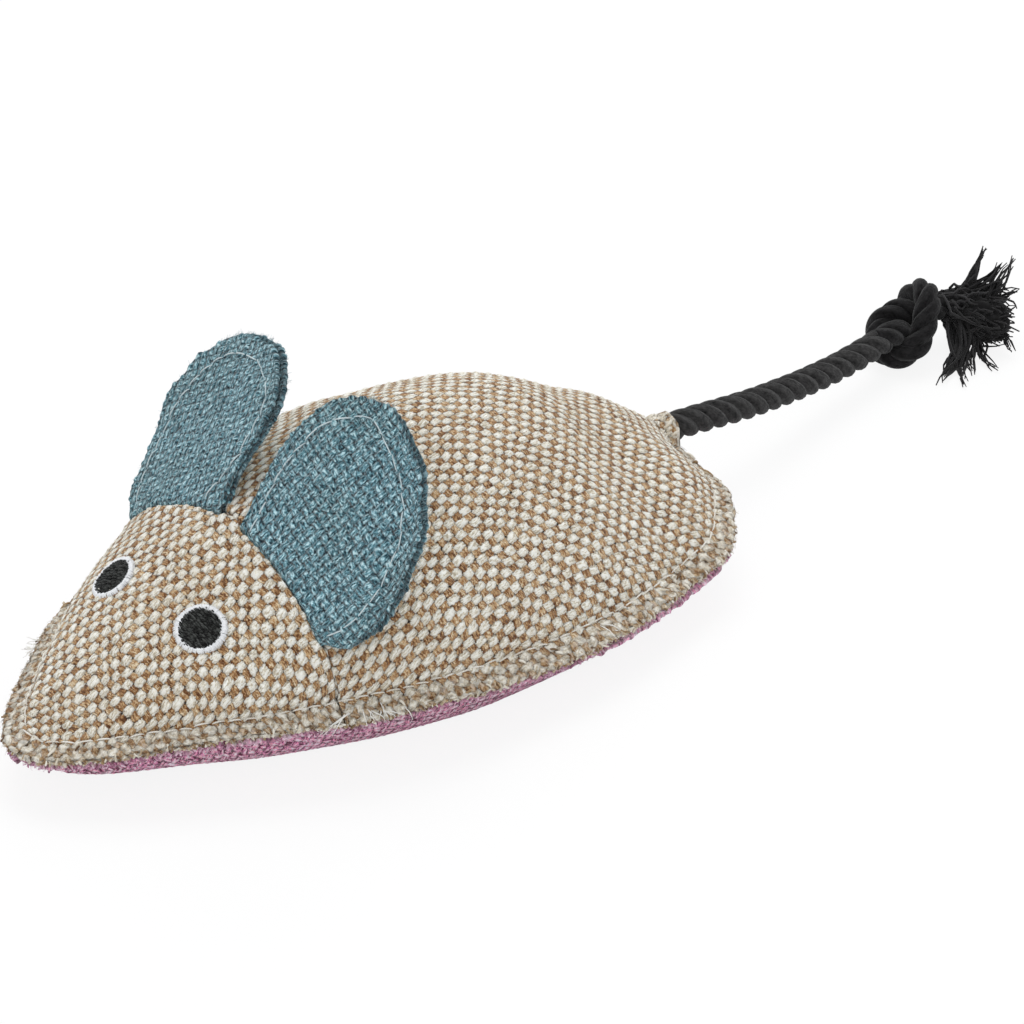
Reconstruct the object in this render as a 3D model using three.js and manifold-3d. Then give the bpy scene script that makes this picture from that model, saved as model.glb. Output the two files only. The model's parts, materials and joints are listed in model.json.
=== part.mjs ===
// A catnip mouse: three cloth panels round a stuffed body, two-ply ears, sewn eyes and a knotted rope tail.
// Millimetres, +Z up. The nose points to -Y and +X is the mouse's own left side.
// The origin is on the surface that the mouse rests on, under the middle of its stitched body.
import * as THREE from "three";
import { mergeVertices } from "three/addons/utils/BufferGeometryUtils.js";
import Module from "manifold-3d";

const wasm = await Module();
wasm.setup();

// Stitched body: the line of the perimeter stitch, the dome above it and the belly below it
const bodyLength = 176;
const bodyHalfWidth = 41;
const domeHeight = 40;
const bellyDepth = 19;
const seamHeight = 14;
const seamRise = 2.7;
const seamTilt = 6.9;
const tailLift = 5.5;
const headLength = 50.7;

// How width, dome and belly swell from nose to tail, as shares of the sizes above
const widthShares = [1, -0.12, -0.06, -0.29];
const domeShares = [1, -0.24, -0.67, -0.05];
const domeStartShare = 0.9;
const bellyStartShare = 0.8;
const tailLiftPower = 8;

// How full a cross-section is, from a round nose to a tail drawn up to the rope
const domeSpread = 1.4;
const noseFullness = 2.38;
const tailFullness = 1.05;
const ridgeRoundShare = 0.25;
const bellySpread = 5;
const bellyFullness = 2;

// Cloth, thread and the clearances between layers
const topCloth = 1.2;
const bellyCloth = 1;
const earCloth = 1.1;
const layerGap = 0.3;
const stuffingGap = 0.8;
const threadRadius = 0.35;

// Seams: the raw rim outside the perimeter stitch, and the turned-in allowance of the head seam
const rimWidth = 5.6;
const rimDroop = THREE.MathUtils.degToRad(34);
const rimDroopEase = THREE.MathUtils.degToRad(8);
const threadInset = 1.1;
const seamAllowance = 5;
const seamTaperShare = 0.9;
const headThreadDepthShare = 0.6;
const tabStartShare = 0.01;
const tabEndShare = 0.86;
const ropeSideAngle = 0.12;

// Ears. Each sits on a stretch of the cross seam, given in shares of the half width, and its rim is given in
// shares of that stretch and of the ear's height, from the ridge end round to the side.
const earHeight = 39;
const earLean = THREE.MathUtils.degToRad(36);
const earSeatGap = 1.4;
const earSplay = 0.5;
const earStitchInset = 4;
const earEndShare = 0.1;
const earStitchLimitShare = 0.75;
const leftEar = {
    side: 1,
    seatShares: [0.14, 0.89],
    rimShares: [
        [0, 0], [-0.16, 0.22], [-0.28, 0.5], [-0.27, 0.77], [-0.08, 0.97], [0.2, 1],
        [0.54, 0.93], [0.86, 0.75], [1.08, 0.46], [1.15, 0.23], [1.09, 0.04], [1, 0],
    ],
};
const rightEar = {
    side: -1,
    seatShares: [0.03, 0.86],
    rimShares: [
        [0, 0], [-0.15, 0.27], [-0.32, 0.5], [-0.31, 0.71], [-0.13, 0.9], [0.25, 1],
        [0.53, 0.95], [0.79, 0.84], [0.98, 0.59], [1.08, 0.335], [1.085, 0.13], [1, 0],
    ],
};

// Eyes
const eyeAlong = 32.3;
const eyeAcross = 13;
const eyeRadius = 5.75;
const pupilRadius = 4.3;
const eyePadHeight = 0.8;
const ringEdgeShare = 0.45;
const pupilEdgeShare = 0.5;

// Tail rope, from its sewn-in end to the knot. The route is measured along the floor from the tail end of the
// stitch line, so that it goes with the body's length.
const ropeRadius = 3.2;
const ropeSides = 10;
const ropeRoute = [
    [0, -14, 19.7],
    [0, -8, 19.7],
    [0, -2, 19.7],
    [0, 4, 19.3],
    [-0.2, 9, 18.5],
    [-0.5, 14, 17.6],
    [-0.9, 20, 16.5],
    [-1.5, 26, 15.3],
    [-2.3, 32, 14.2],
    [-3.2, 38, 13.1],
    [-4.2, 44, 12],
    [-5.3, 50, 11],
    [-6.4, 56, 10.1],
    [-7.5, 62, 9.4],
    [-8.6, 69, 9],
    [-9.7, 75.9, 9],
];

// Knot: half of its route in rope widths, from its middle out. The other half is the same, turned half
// round.
const knotRopeWidth = 6.1;
const knotRopeGap = 0.55;
const knotHeading = THREE.MathUtils.degToRad(99);
const knotRoll = THREE.MathUtils.degToRad(-22);
const knotMiddleShares = [0, -0.14, 0];
const knotHalfShares = [
    [0.31, -0.14, 0.4], [0.64, 0, 0.74], [0.96, 0.34, 0.93], [1.16, 0.8, 0.94], [1.2, 1.26, 0.75],
    [1.08, 1.6, 0.41], [0.8, 1.75, 0.02], [0.44, 1.67, -0.31], [0.08, 1.39, -0.49], [-0.1, 1.2, -0.5],
    [-0.26, 1.03, -0.43], [-0.41, 0.89, -0.3], [-0.58, 0.785, -0.16], [-0.79, 0.715, -0.05],
    [-1.03, 0.675, 0.01], [-1.5, 0.65, 0.04], [-2, 0.65, 0.04],
];

// Frayed tuft at the end of the rope, as shares of its radius and length. It spreads more sideways than
// upwards, and leans away from the line of the rope.
const tuftLength = 18;
const tuftRadius = 8.6;
const tuftSpread = 1.25;
const tuftLift = THREE.MathUtils.degToRad(2);
const tuftSwing = THREE.MathUtils.degToRad(-30);
const tuftGap = 0.8;
const tuftShares = [
    [0, 0], [0.12, 0.02], [0.3, 0.12], [0.44, 0.22], [0.68, 0.42], [0.92, 0.66], [1, 0.84], [0.82, 0.98],
    [0, 1],
];

// Filling
const catnipRadii = [10, 22, 8];
const catnipAlong = 96;
const fillingStartShare = 0.1;
const fillingEndShare = 0.93;
const fillingWidthShare = 0.92;
const fillingLeast = 0.6;
const notchRamp = 1;

// How finely each form is made up, and how near two points count as one
const panelColumns = 22;
const bellyColumns = 18;
const headRows = 9;
const backRows = 15;
const turnedRows = 2;
const bellyRows = 20;
const perimeterSteps = 110;
const threadSides = 4;
const headThreadSteps = 20;
const tabSteps = 10;
const earRows = 5;
const earColumns = 18;
const earStitchSteps = 30;
const eyeRows = 3;
const eyeSpokes = 24;
const headStations = 4;
const backStations = 7;
const fillingColumns = 12;
const catnipSides = 14;
const catnipRows = 9;
const knotSides = 8;
const knotSteps = 64;
const tuftSides = 14;
const weldDistance = 1e-4;
const angleStep = 1e-4;
const shareStep = 1e-3;
const slopeStep = 1e-2;

// Colour and roughness of each material
const panelColour = 0xb9a386;
const bellyColour = 0x9b6c86;
const earColour = 0x5b8a94;
const earThreadColour = 0xbcd0d2;
const threadColour = 0xe8e2d6;
const blackColour = 0x1b1a1c;
const whiteColour = 0xf2efe8;
const fillingColour = 0xf4f4f0;
const catnipColour = 0x6f7440;
const clothRoughness = 0.95;
const threadRoughness = 0.8;
const eyeRoughness = 0.6;
const ropeRoughness = 0.85;
const fillingRoughness = 1;

const part = new THREE.Group();
const body = new THREE.Group();
body.position.set(0, -bodyLength / 2, seamHeight);
const tail = new THREE.Group();
tail.position.set(0, bodyLength / 2, 0);
part.add(body, tail);

function addPiece(group, name, geometry, color, roughness) {
    const material = new THREE.MeshStandardMaterial({ color, roughness, metalness: 0 });
    const mesh = new THREE.Mesh(geometry, material);
    mesh.name = name;
    group.add(mesh);
    return mesh;
}

// Body form. An angle from 0 at the nose to pi at the tail runs along the stitch line, and a share of -1
// to 1 runs across it, so both ends of the outline come out round.
const seamAngle = angleAt(headLength);

function angleAt(along) {
    return Math.acos(1 - 2 * along / bodyLength);
}

function alongAt(angle) {
    return bodyLength * (1 - Math.cos(angle)) / 2;
}

function swell(shares, angle) {
    const c = Math.cos(angle);
    return shares.reduce((sum, share, power) => sum + share * c ** power, 0);
}

function halfWidthAt(angle) {
    return bodyHalfWidth * Math.abs(Math.sin(angle)) * swell(widthShares, angle);
}

function domeHeightAt(angle) {
    return domeHeight * Math.abs(Math.sin(angle)) ** domeStartShare * swell(domeShares, angle);
}

function stitchHeightAt(angle) {
    const bow = (seamRise + seamTilt * Math.cos(angle)) * Math.sin(angle) ** 2;
    return bow + tailLift * (alongAt(angle) / bodyLength) ** tailLiftPower;
}

// The crown's fall from the ridge, at 0, to the side seam, at 1, rounded over at the ridge
function crownFall(across) {
    const soft = ridgeRoundShare ** domeSpread;
    const raise = (share) => (share * share + ridgeRoundShare ** 2) ** (domeSpread / 2) - soft;
    return raise(across) / raise(1);
}

function domePoint(angle, across) {
    const fullness = THREE.MathUtils.lerp(noseFullness, tailFullness, alongAt(angle) / bodyLength);
    const crown = Math.max(1 - crownFall(across), 0) ** (1 / fullness);
    const height = stitchHeightAt(angle) + domeHeightAt(angle) * crown;
    return new THREE.Vector3(across * halfWidthAt(angle), alongAt(angle), height);
}

// The raw rim stands out from the stitch line, square to it in plan, and droops
function rimFrame(angle, side) {
    const run = (alongAt(angle + angleStep) - alongAt(angle - angleStep)) / 2;
    const spread = (signedHalfWidth(angle + angleStep) - signedHalfWidth(angle - angleStep)) / 2;
    const outward = new THREE.Vector3(run * side, -spread, 0).normalize();
    const droop = rimDroop - rimDroopEase * Math.cos(angle) ** 2;
    const reach = outward.clone().multiplyScalar(Math.cos(droop));
    reach.z = -Math.sin(droop);
    const face = outward.clone().multiplyScalar(Math.sin(droop));
    face.z = Math.cos(droop);
    return { reach, face };
}

function signedHalfWidth(angle) {
    return bodyHalfWidth * Math.sin(angle) * swell(widthShares, angle);
}

function rimPoint(angle, side, out, up) {
    const { reach, face } = rimFrame(angle, side);
    return domePoint(angle, side).addScaledVector(reach, out).addScaledVector(face, up);
}

// Grids of points and the solids made from them
function grid(rows, columns, pointAt) {
    const result = [];
    for (let i = 0; i <= rows; i++) {
        const row = [];
        for (let j = 0; j <= columns; j++) row.push(pointAt(i / rows, j / columns, i, j));
        result.push(row);
    }
    return result;
}

function pointKey(point) {
    return point.toArray().map((value) => Math.round(value / weldDistance)).join(" ");
}

const leastMitreShare = 0.75;

// Moves a grid along its own normals. Points that meet share one normal, so they still meet afterwards.
function offsetGrid(points, distance) {
    const sums = new Map();
    const cornerNormal = (a, b, c) => {
        const normal = b.clone().sub(a).cross(c.clone().sub(a));
        if (normal.length() < weldDistance ** 2) return;
        normal.normalize();
        for (const corner of [a, b, c]) {
            const key = pointKey(corner);
            if (!sums.has(key)) sums.set(key, { total: new THREE.Vector3(), count: 0 });
            const entry = sums.get(key);
            entry.total.add(normal);
            entry.count += 1;
        }
    };
    for (let i = 0; i + 1 < points.length; i++) {
        for (let j = 0; j + 1 < points[i].length; j++) {
            cornerNormal(points[i][j], points[i + 1][j], points[i + 1][j + 1]);
            cornerNormal(points[i][j], points[i + 1][j + 1], points[i][j + 1]);
        }
    }
    const moved = (point) => {
        const { total, count } = sums.get(pointKey(point));
        const mean = total.clone().divideScalar(count);
        const mitre = distance / Math.max(mean.length(), leastMitreShare);
        return point.clone().addScaledVector(mean.normalize(), mitre);
    };
    return points.map((row) => row.map(moved));
}

// Closes the space between two grids of one size. A row or side that closes on itself needs no wall.
function solidBetween(front, back, { start = true, end = true, sides = true } = {}) {
    const rows = front.length;
    const columns = front[0].length;
    const positions = [...front.flat(), ...back.flat()].flatMap((point) => point.toArray());
    const at = (i, j) => i * columns + j;
    const under = (i, j) => rows * columns + at(i, j);
    const index = [];
    const quad = (a, b, c, d) => index.push(a, b, c, a, c, d);
    for (let i = 0; i + 1 < rows; i++) {
        for (let j = 0; j + 1 < columns; j++) {
            quad(at(i, j), at(i + 1, j), at(i + 1, j + 1), at(i, j + 1));
            quad(under(i, j), under(i, j + 1), under(i + 1, j + 1), under(i + 1, j));
        }
        if (!sides) continue;
        const last = columns - 1;
        quad(at(i + 1, 0), at(i, 0), under(i, 0), under(i + 1, 0));
        quad(at(i, last), at(i + 1, last), under(i + 1, last), under(i, last));
    }
    for (let j = 0; j + 1 < columns; j++) {
        const last = rows - 1;
        if (start) quad(at(0, j), at(0, j + 1), under(0, j + 1), under(0, j));
        if (end) quad(at(last, j + 1), at(last, j), under(last, j), under(last, j + 1));
    }
    return closedGeometry(positions, index);
}

// Merges points that meet, leaves out triangles that have shrunk to a line, and turns the faces outwards
function closedGeometry(positions, index) {
    const loose = new THREE.BufferGeometry();
    loose.setAttribute("position", new THREE.Float32BufferAttribute(positions, 3));
    loose.setIndex(index);
    const merged = mergeVertices(loose, weldDistance);
    const corners = Array.from(merged.index.array);
    const kept = [];
    for (let k = 0; k < corners.length; k += 3) {
        const [a, b, c] = corners.slice(k, k + 3);
        if (a !== b && b !== c && c !== a) kept.push(a, b, c);
    }
    merged.setIndex(kept);
    if (signedVolume(merged) < 0) merged.setIndex(kept.reverse());
    return merged;
}

function signedVolume(geometry) {
    const at = geometry.getAttribute("position");
    const corner = (k) => new THREE.Vector3().fromBufferAttribute(at, geometry.index.getX(k));
    let volume = 0;
    for (let k = 0; k < geometry.index.count; k += 3) {
        volume += corner(k).dot(corner(k + 1).cross(corner(k + 2))) / 6;
    }
    return volume;
}

function toSolid(geometry) {
    const bare = geometry.clone();
    for (const name of ["normal", "uv"]) bare.deleteAttribute(name);
    const merged = mergeVertices(bare, weldDistance);
    return new wasm.Manifold(new wasm.Mesh({
        numProp: 3,
        vertProperties: new Float32Array(merged.getAttribute("position").array),
        triVerts: new Uint32Array(merged.index.array),
    }));
}

function fromSolid(solid) {
    const mesh = solid.getMesh();
    const geometry = new THREE.BufferGeometry();
    geometry.setAttribute("position", new THREE.BufferAttribute(mesh.vertProperties, 3));
    geometry.setIndex(new THREE.BufferAttribute(mesh.triVerts, 1));
    return geometry;
}

function cut(geometry, tools) {
    return fromSolid(tools.reduce((solid, tool) => solid.subtract(toSolid(tool)), toSolid(geometry)));
}

// A tube of even sides along a curve through the given points
function polygon(radius, sides) {
    const corners = [];
    for (let k = 0; k < sides; k++) {
        const turn = 2 * Math.PI * k / sides;
        corners.push(new THREE.Vector2(radius * Math.cos(turn), radius * Math.sin(turn)));
    }
    return new THREE.Shape(corners);
}

function tube(points, radius, sides, steps) {
    const extrudePath = new THREE.CatmullRomCurve3(points, false, "centripetal");
    return new THREE.ExtrudeGeometry(polygon(radius, sides), { steps, extrudePath, curveSegments: 1 });
}

// The space that the rope takes through the tail seam, in the body's frame
function ropeCurve(points) {
    return points.map((point) => new THREE.Vector3(...point));
}

const channelRadius = (ropeRadius + layerGap) / Math.cos(Math.PI / ropeSides);
const tailFromBody = tail.position.clone().sub(body.position);
const channelPoints = ropeCurve(ropeRoute).map((point) => point.add(tailFromBody));
channelPoints[0].y -= layerGap;
const ropeChannel = tube(channelPoints, channelRadius, ropeSides, ropeRoute.length * 2);

// Top panels. The slot between them holds the ears' sewn edges, and closes up towards the side seams.
const earSlot = 2 * earCloth + 3 * layerGap;

function seamTaper(across) {
    const out = (Math.abs(across) - seamTaperShare) / (1 - seamTaperShare);
    return 1 - THREE.MathUtils.clamp(out, 0, 1);
}

function slotHalfAt(across) {
    return THREE.MathUtils.lerp(layerGap, earSlot, seamTaper(across)) / 2;
}

// Straight into the body from the cross seam, square to the cloth there
function seamInward(across) {
    const run = domePoint(seamAngle, across + shareStep).sub(domePoint(seamAngle, across - shareStep));
    return new THREE.Vector3(run.z, 0, -run.x).normalize();
}

// A row of a top panel: rim edge, dome from side to side, rim edge
function topPanelGrid(rows, turnedAtStart, angleOf) {
    return grid(rows + turnedRows, panelColumns + 2, (along, across, i, j) => {
        const k = THREE.MathUtils.clamp(j - 1, 0, panelColumns);
        const share = Math.sin(Math.PI * (k / panelColumns - 0.5));
        const turned = Math.max(turnedAtStart ? turnedRows - i : i - rows, 0);
        const row = turnedAtStart ? Math.max(i - turnedRows, 0) : Math.min(i, rows);
        const angle = angleOf(row / rows, share);
        const onRim = j === 0 || j === panelColumns + 2;
        const point = onRim ? rimPoint(angle, Math.sign(share), rimWidth, 0) : domePoint(angle, share);
        if (!turned || onRim || Math.abs(share) === 1) return point;
        const depth = seamAllowance * seamTaper(share) * turned / turnedRows;
        return point.addScaledVector(seamInward(share), depth);
    });
}

const headOuter = topPanelGrid(headRows, false, (share, across) => {
    return share * angleAt(headLength - slotHalfAt(across));
});
const headInner = offsetGrid(headOuter, topCloth);
const headPanel = solidBetween(headOuter, headInner, { start: false });
addPiece(body, "head_panel", headPanel, panelColour, clothRoughness);

const backOuter = topPanelGrid(backRows, true, (share, across) => {
    return THREE.MathUtils.lerp(angleAt(headLength + slotHalfAt(across)), Math.PI, share);
});
const backInner = offsetGrid(backOuter, topCloth);
const backPanel = cut(solidBetween(backOuter, backInner, { end: false }), [ropeChannel]);
addPiece(body, "back_panel", backPanel, panelColour, clothRoughness);

// Belly panel: under the rim it lies a gap below the top cloth, and it is flat where the mouse rests
const bellyDrop = topCloth + layerGap + bellyCloth;

function bellyRim(angle, side, out) {
    return rimPoint(angle, side, out, -bellyDrop);
}

function bellyPoint(angle, across) {
    const edge = bellyRim(angle, 1, 0);
    const full = (1 - Math.abs(across) ** bellySpread) ** (1 / bellyFullness);
    const drop = bellyDepth * Math.abs(Math.sin(angle)) ** bellyStartShare * full;
    return new THREE.Vector3(across * edge.x, edge.y, Math.max(edge.z - drop, -seamHeight));
}

const bellyOuter = grid(bellyRows, bellyColumns + 2, (along, across, i, j) => {
    const angle = along * Math.PI;
    if (j === 0 || j === bellyColumns + 2) return bellyRim(angle, j === 0 ? -1 : 1, rimWidth);
    return bellyPoint(angle, Math.sin(Math.PI * ((j - 1) / bellyColumns - 0.5)));
});
const bellyInner = offsetGrid(bellyOuter, -bellyCloth);
const bellyPanel = cut(solidBetween(bellyOuter, bellyInner, { start: false, end: false }), [ropeChannel]);
addPiece(body, "belly_panel", bellyPanel, bellyColour, clothRoughness);

// Perimeter thread: round the rim from one side of the rope to the other
const threadEnd = Math.PI - ropeSideAngle;

const perimeterPoints = grid(perimeterSteps, 0, (along) => {
    const angle = THREE.MathUtils.lerp(-threadEnd, threadEnd, along);
    return rimPoint(Math.abs(angle), Math.sign(angle) || 1, threadInset, layerGap + threadRadius);
}).flat();
const perimeterThread = tube(perimeterPoints, threadRadius, threadSides, perimeterPoints.length);
addPiece(body, "perimeter_thread", perimeterThread, threadColour, threadRoughness);

// Head seam thread: behind the back panel's turned-in edge
const headThreadAlong = headLength + earSlot / 2 + topCloth + layerGap + threadRadius;
const headThreadDepth = seamAllowance * headThreadDepthShare;

function seamPoint(across, depth, along) {
    const point = domePoint(seamAngle, across).addScaledVector(seamInward(across), depth);
    point.y = along;
    return point;
}

const headThreadPoints = grid(headThreadSteps, 0, (share) => {
    const across = THREE.MathUtils.lerp(-tabEndShare, tabEndShare, share);
    return seamPoint(across, headThreadDepth, headThreadAlong);
}).flat();
const headThread = tube(headThreadPoints, threadRadius, threadSides, headThreadPoints.length);
addPiece(body, "head_seam_thread", headThread, threadColour, threadRoughness);

// Ear tabs: the ears' sewn edges, held between the two turned-in allowances
function seamTab(side) {
    const face = (along) => grid(1, tabSteps, (depth, share) => {
        const across = side * THREE.MathUtils.lerp(tabStartShare, tabEndShare, share);
        return seamPoint(across, depth * seamAllowance, along);
    });
    const half = earSlot / 2 - layerGap;
    return solidBetween(face(headLength - half), face(headLength + half));
}

// Ear plies: a sheet from the curve of the cross seam to the rim, which leans back over the body
function earSheet({ side, seatShares, rimShares }) {
    const top = domePoint(seamAngle, side * seatShares[0]);
    const bottom = domePoint(seamAngle, side * seatShares[1]);
    const chord = bottom.clone().sub(top);
    const seatLength = chord.length();
    chord.normalize();
    const out = new THREE.Vector3(-chord.z, 0, chord.x).multiplyScalar(side);
    const back = new THREE.Vector3(0, 1, 0);
    const rise = out.clone().multiplyScalar(Math.cos(earLean)).addScaledVector(back, Math.sin(earLean));
    const face = out.clone().multiplyScalar(Math.sin(earLean)).addScaledVector(back, -Math.cos(earLean));
    const origin = top.clone().addScaledVector(out, earSeatGap);
    const rimPoints = rimShares.map(([s, t]) => new THREE.Vector3(s * seatLength, t * earHeight, 0));
    const rim = new THREE.CatmullRomCurve3(rimPoints, false, "centripetal");
    const seat = (share) => {
        const across = side * THREE.MathUtils.lerp(seatShares[0], seatShares[1], share);
        const point = domePoint(seamAngle, across).sub(top);
        return { s: point.dot(chord), bulge: point.dot(out) };
    };
    const place = (s, t, lift) => {
        return origin.clone().addScaledVector(chord, s).addScaledVector(rise, t).addScaledVector(face, lift);
    };
    return { seat, rim, place };
}

function earPly(ear, faceLift) {
    const { seat, rim, place } = earSheet(ear);
    return grid(earRows, earColumns, (up, share) => {
        const { s, bulge } = seat(share);
        const edge = rim.getPointAt(share);
        const flat = new THREE.Vector3(s, bulge * Math.cos(earLean), 0).lerp(edge, up);
        const lift = faceLift(up);
        const level = lift * Math.tan(earLean) * (1 - up);
        return place(flat.x, flat.y - level, bulge * Math.sin(earLean) * (1 - up) ** 2 + lift);
    });
}

function earFront(ear) {
    const inner = layerGap / 2;
    return solidBetween(earPly(ear, () => inner + earCloth), earPly(ear, () => inner));
}

function earBack(ear) {
    const inner = (up) => -layerGap / 2 - earSplay * up ** 2;
    return solidBetween(earPly(ear, inner), earPly(ear, (up) => inner(up) - earCloth));
}

// The topstitch keeps its distance from the rim, measured square to the rim, and stops near the seam
function earStitch(ear) {
    const { seat, rim, place } = earSheet(ear);
    const rest = layerGap / 2 + earCloth + layerGap + threadRadius;
    const points = grid(earStitchSteps, 0, (share) => {
        const around = THREE.MathUtils.lerp(earEndShare, 1 - earEndShare, share);
        const { s, bulge } = seat(around);
        const edge = rim.getPointAt(around);
        const spoke = new THREE.Vector3(s, bulge * Math.cos(earLean), 0).sub(edge);
        const slant = spoke.clone().normalize().cross(rim.getTangentAt(around)).length();
        const inward = Math.min(earStitchInset / (slant * spoke.length()), earStitchLimitShare);
        const point = edge.addScaledVector(spoke, inward);
        return place(point.x, point.y, bulge * Math.sin(earLean) * inward ** 2 + rest);
    }).flat();
    return tube(points, threadRadius, threadSides, points.length);
}

for (const [name, ear] of [["left", leftEar], ["right", rightEar]]) {
    addPiece(body, `ear_${name}_seam_tab`, seamTab(ear.side), earColour, clothRoughness);
    addPiece(body, `ear_${name}_front_ply`, earFront(ear), earColour, clothRoughness);
    addPiece(body, `ear_${name}_back_ply`, earBack(ear), earColour, clothRoughness);
    addPiece(body, `ear_${name}_topstitch`, earStitch(ear), earThreadColour, threadRoughness);
}

// Eyes: pads of thread that follow the head's curve
function domeTopAt(x, y) {
    const angle = angleAt(y);
    return domePoint(angle, x / halfWidthAt(angle)).z;
}

function domeFrameAt(x, y) {
    const slopeX = (domeTopAt(x + slopeStep, y) - domeTopAt(x - slopeStep, y)) / (2 * slopeStep);
    const slopeY = (domeTopAt(x, y + slopeStep) - domeTopAt(x, y - slopeStep)) / (2 * slopeStep);
    const normal = new THREE.Vector3(-slopeX, -slopeY, 1).normalize();
    const across = new THREE.Vector3(1, 0, slopeX).normalize();
    const along = normal.clone().cross(across);
    return { centre: new THREE.Vector3(x, y, domeTopAt(x, y)), normal, across, along };
}

// Follows the head's curve closely enough after a few passes down onto it
const eyePasses = 6;

function eyePad(side, innerRadius, outerRadius, crown) {
    const { centre, normal, across, along } = domeFrameAt(side * eyeAcross, eyeAlong);
    const face = (height) => grid(eyeRows, eyeSpokes, (out, share) => {
        const radius = THREE.MathUtils.lerp(innerRadius, outerRadius, out);
        const turn = 2 * Math.PI * share;
        const point = centre.clone().addScaledVector(across, radius * Math.cos(turn));
        point.addScaledVector(along, radius * Math.sin(turn));
        for (let pass = 0; pass < eyePasses; pass++) {
            const over = point.z - domeTopAt(point.x, point.y);
            point.addScaledVector(normal, -over * normal.z);
        }
        return point.addScaledVector(normal, layerGap + height(out));
    });
    const top = face((out) => eyePadHeight * crown(out));
    return solidBetween(top, face(() => 0), { start: innerRadius > 0, sides: false });
}

const ringCrown = (out) => THREE.MathUtils.lerp(ringEdgeShare, 1, Math.sin(Math.PI * out));
const pupilCrown = (out) => THREE.MathUtils.lerp(1, pupilEdgeShare, out ** 2);

for (const [name, side] of [["left", 1], ["right", -1]]) {
    const ring = eyePad(side, pupilRadius + layerGap, eyeRadius, ringCrown);
    const pupil = eyePad(side, 0, pupilRadius, pupilCrown);
    addPiece(body, `eye_${name}_ring`, ring, whiteColour, eyeRoughness);
    addPiece(body, `eye_${name}_pupil`, pupil, blackColour, eyeRoughness);
}

// Filling: two pads that meet at the stitch line, with the catnip wad held between them
const catnipHeight = stitchHeightAt(angleAt(catnipAlong));

function catnipShape(growth) {
    const [x, y, z] = catnipRadii.map((radius) => radius + growth);
    const ball = new THREE.SphereGeometry(1, catnipSides, catnipRows);
    return ball.scale(x, y, z).translate(0, catnipAlong, catnipHeight);
}

const notchHalf = headThreadAlong + threadRadius + layerGap - headLength;
const notchStart = headLength - notchHalf;
const notchEnd = headLength + notchHalf;

function stationsBetween(start, end, count) {
    return Array.from({ length: count }, (_, k) => THREE.MathUtils.lerp(start, end, k / count));
}

const fillingStations = [
    ...stationsBetween(fillingStartShare * bodyLength, notchStart - notchRamp, headStations),
    notchStart - notchRamp,
    notchStart,
    notchEnd,
    ...stationsBetween(notchEnd + notchRamp, fillingEndShare * bodyLength, backStations),
    fillingEndShare * bodyLength,
];
const fillingHalfGap = layerGap / 2;

function fillingAcross(share) {
    return fillingWidthShare * Math.sin(Math.PI * (share - 0.5));
}

function fillingGrid(pointAt) {
    return grid(fillingStations.length - 1, fillingColumns, (along, across, i) => {
        return pointAt(angleAt(fillingStations[i]), fillingAcross(across));
    });
}

function flatUnder(points, lift) {
    return points.map((row) => row.map((point) => {
        const height = stitchHeightAt(angleAt(point.y)) + lift;
        return new THREE.Vector3(point.x, point.y, height);
    }));
}

function keepApart(points, plane, side) {
    points.forEach((row, i) => row.forEach((point, j) => {
        const least = plane[i][j].z + side * fillingLeast;
        point.z = side > 0 ? Math.max(point.z, least) : Math.min(point.z, least);
    }));
    return points;
}

// The upper pad is notched under the cross seam, where the turned-in cloth hangs down
const domeUnder = offsetGrid(fillingGrid(domePoint), topCloth + stuffingGap);
const notched = domeUnder.map((row, i) => row.map((point, j) => {
    if (fillingStations[i] < notchStart || fillingStations[i] > notchEnd) return point;
    return point.addScaledVector(seamInward(fillingAcross(j / fillingColumns)), seamAllowance);
}));
const upperPlane = flatUnder(notched, fillingHalfGap);
const upperFilling = solidBetween(keepApart(notched, upperPlane, 1), upperPlane);
const recess = catnipShape(stuffingGap);
const upperPad = cut(upperFilling, [recess, ropeChannel]);
addPiece(body, "stuffing_upper", upperPad, fillingColour, fillingRoughness);

const bellyAbove = offsetGrid(fillingGrid(bellyPoint), -bellyCloth - stuffingGap);
const lowerPlane = flatUnder(bellyAbove, -fillingHalfGap);
const lowerFilling = solidBetween(keepApart(bellyAbove, lowerPlane, -1), lowerPlane);
const lowerPad = cut(lowerFilling, [recess, ropeChannel]);
addPiece(body, "stuffing_lower", lowerPad, fillingColour, fillingRoughness);
addPiece(body, "catnip_wad", catnipShape(0), catnipColour, fillingRoughness);

// Tail rope and the knot in it
const ropePoints = ropeCurve(ropeRoute);
const rope = tube(ropePoints, ropeRadius, ropeSides, ropeRoute.length * 2);
addPiece(tail, "tail_rope", rope, blackColour, ropeRoughness);

const knotHalf = knotHalfShares.map(([x, y, z]) => new THREE.Vector3(x, y, z).multiplyScalar(knotRopeWidth));
const knotOther = knotHalf.map(({ x, y, z }) => new THREE.Vector3(-x, y, -z));
const knotMiddle = new THREE.Vector3(...knotMiddleShares).multiplyScalar(knotRopeWidth);
const knotPoints = [...knotHalf.toReversed(), knotMiddle, ...knotOther];
const knotRadius = (knotRopeWidth - knotRopeGap) / 2;
const knotTurn = new THREE.Euler(knotRoll, 0, knotHeading, "ZYX");
const alongTail = new THREE.Vector3(1, 0, 0).applyEuler(knotTurn);
const knotStart = ropePoints.at(-1).clone().addScaledVector(alongTail, layerGap);

const knotTube = tube(knotPoints, knotRadius, knotSides, knotSteps);
const knot = addPiece(tail, "tail_knot", knotTube, blackColour, ropeRoughness);
knot.rotation.copy(knotTurn);
knot.position.copy(knotStart).sub(knotPoints[0].clone().applyEuler(knotTurn));

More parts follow.
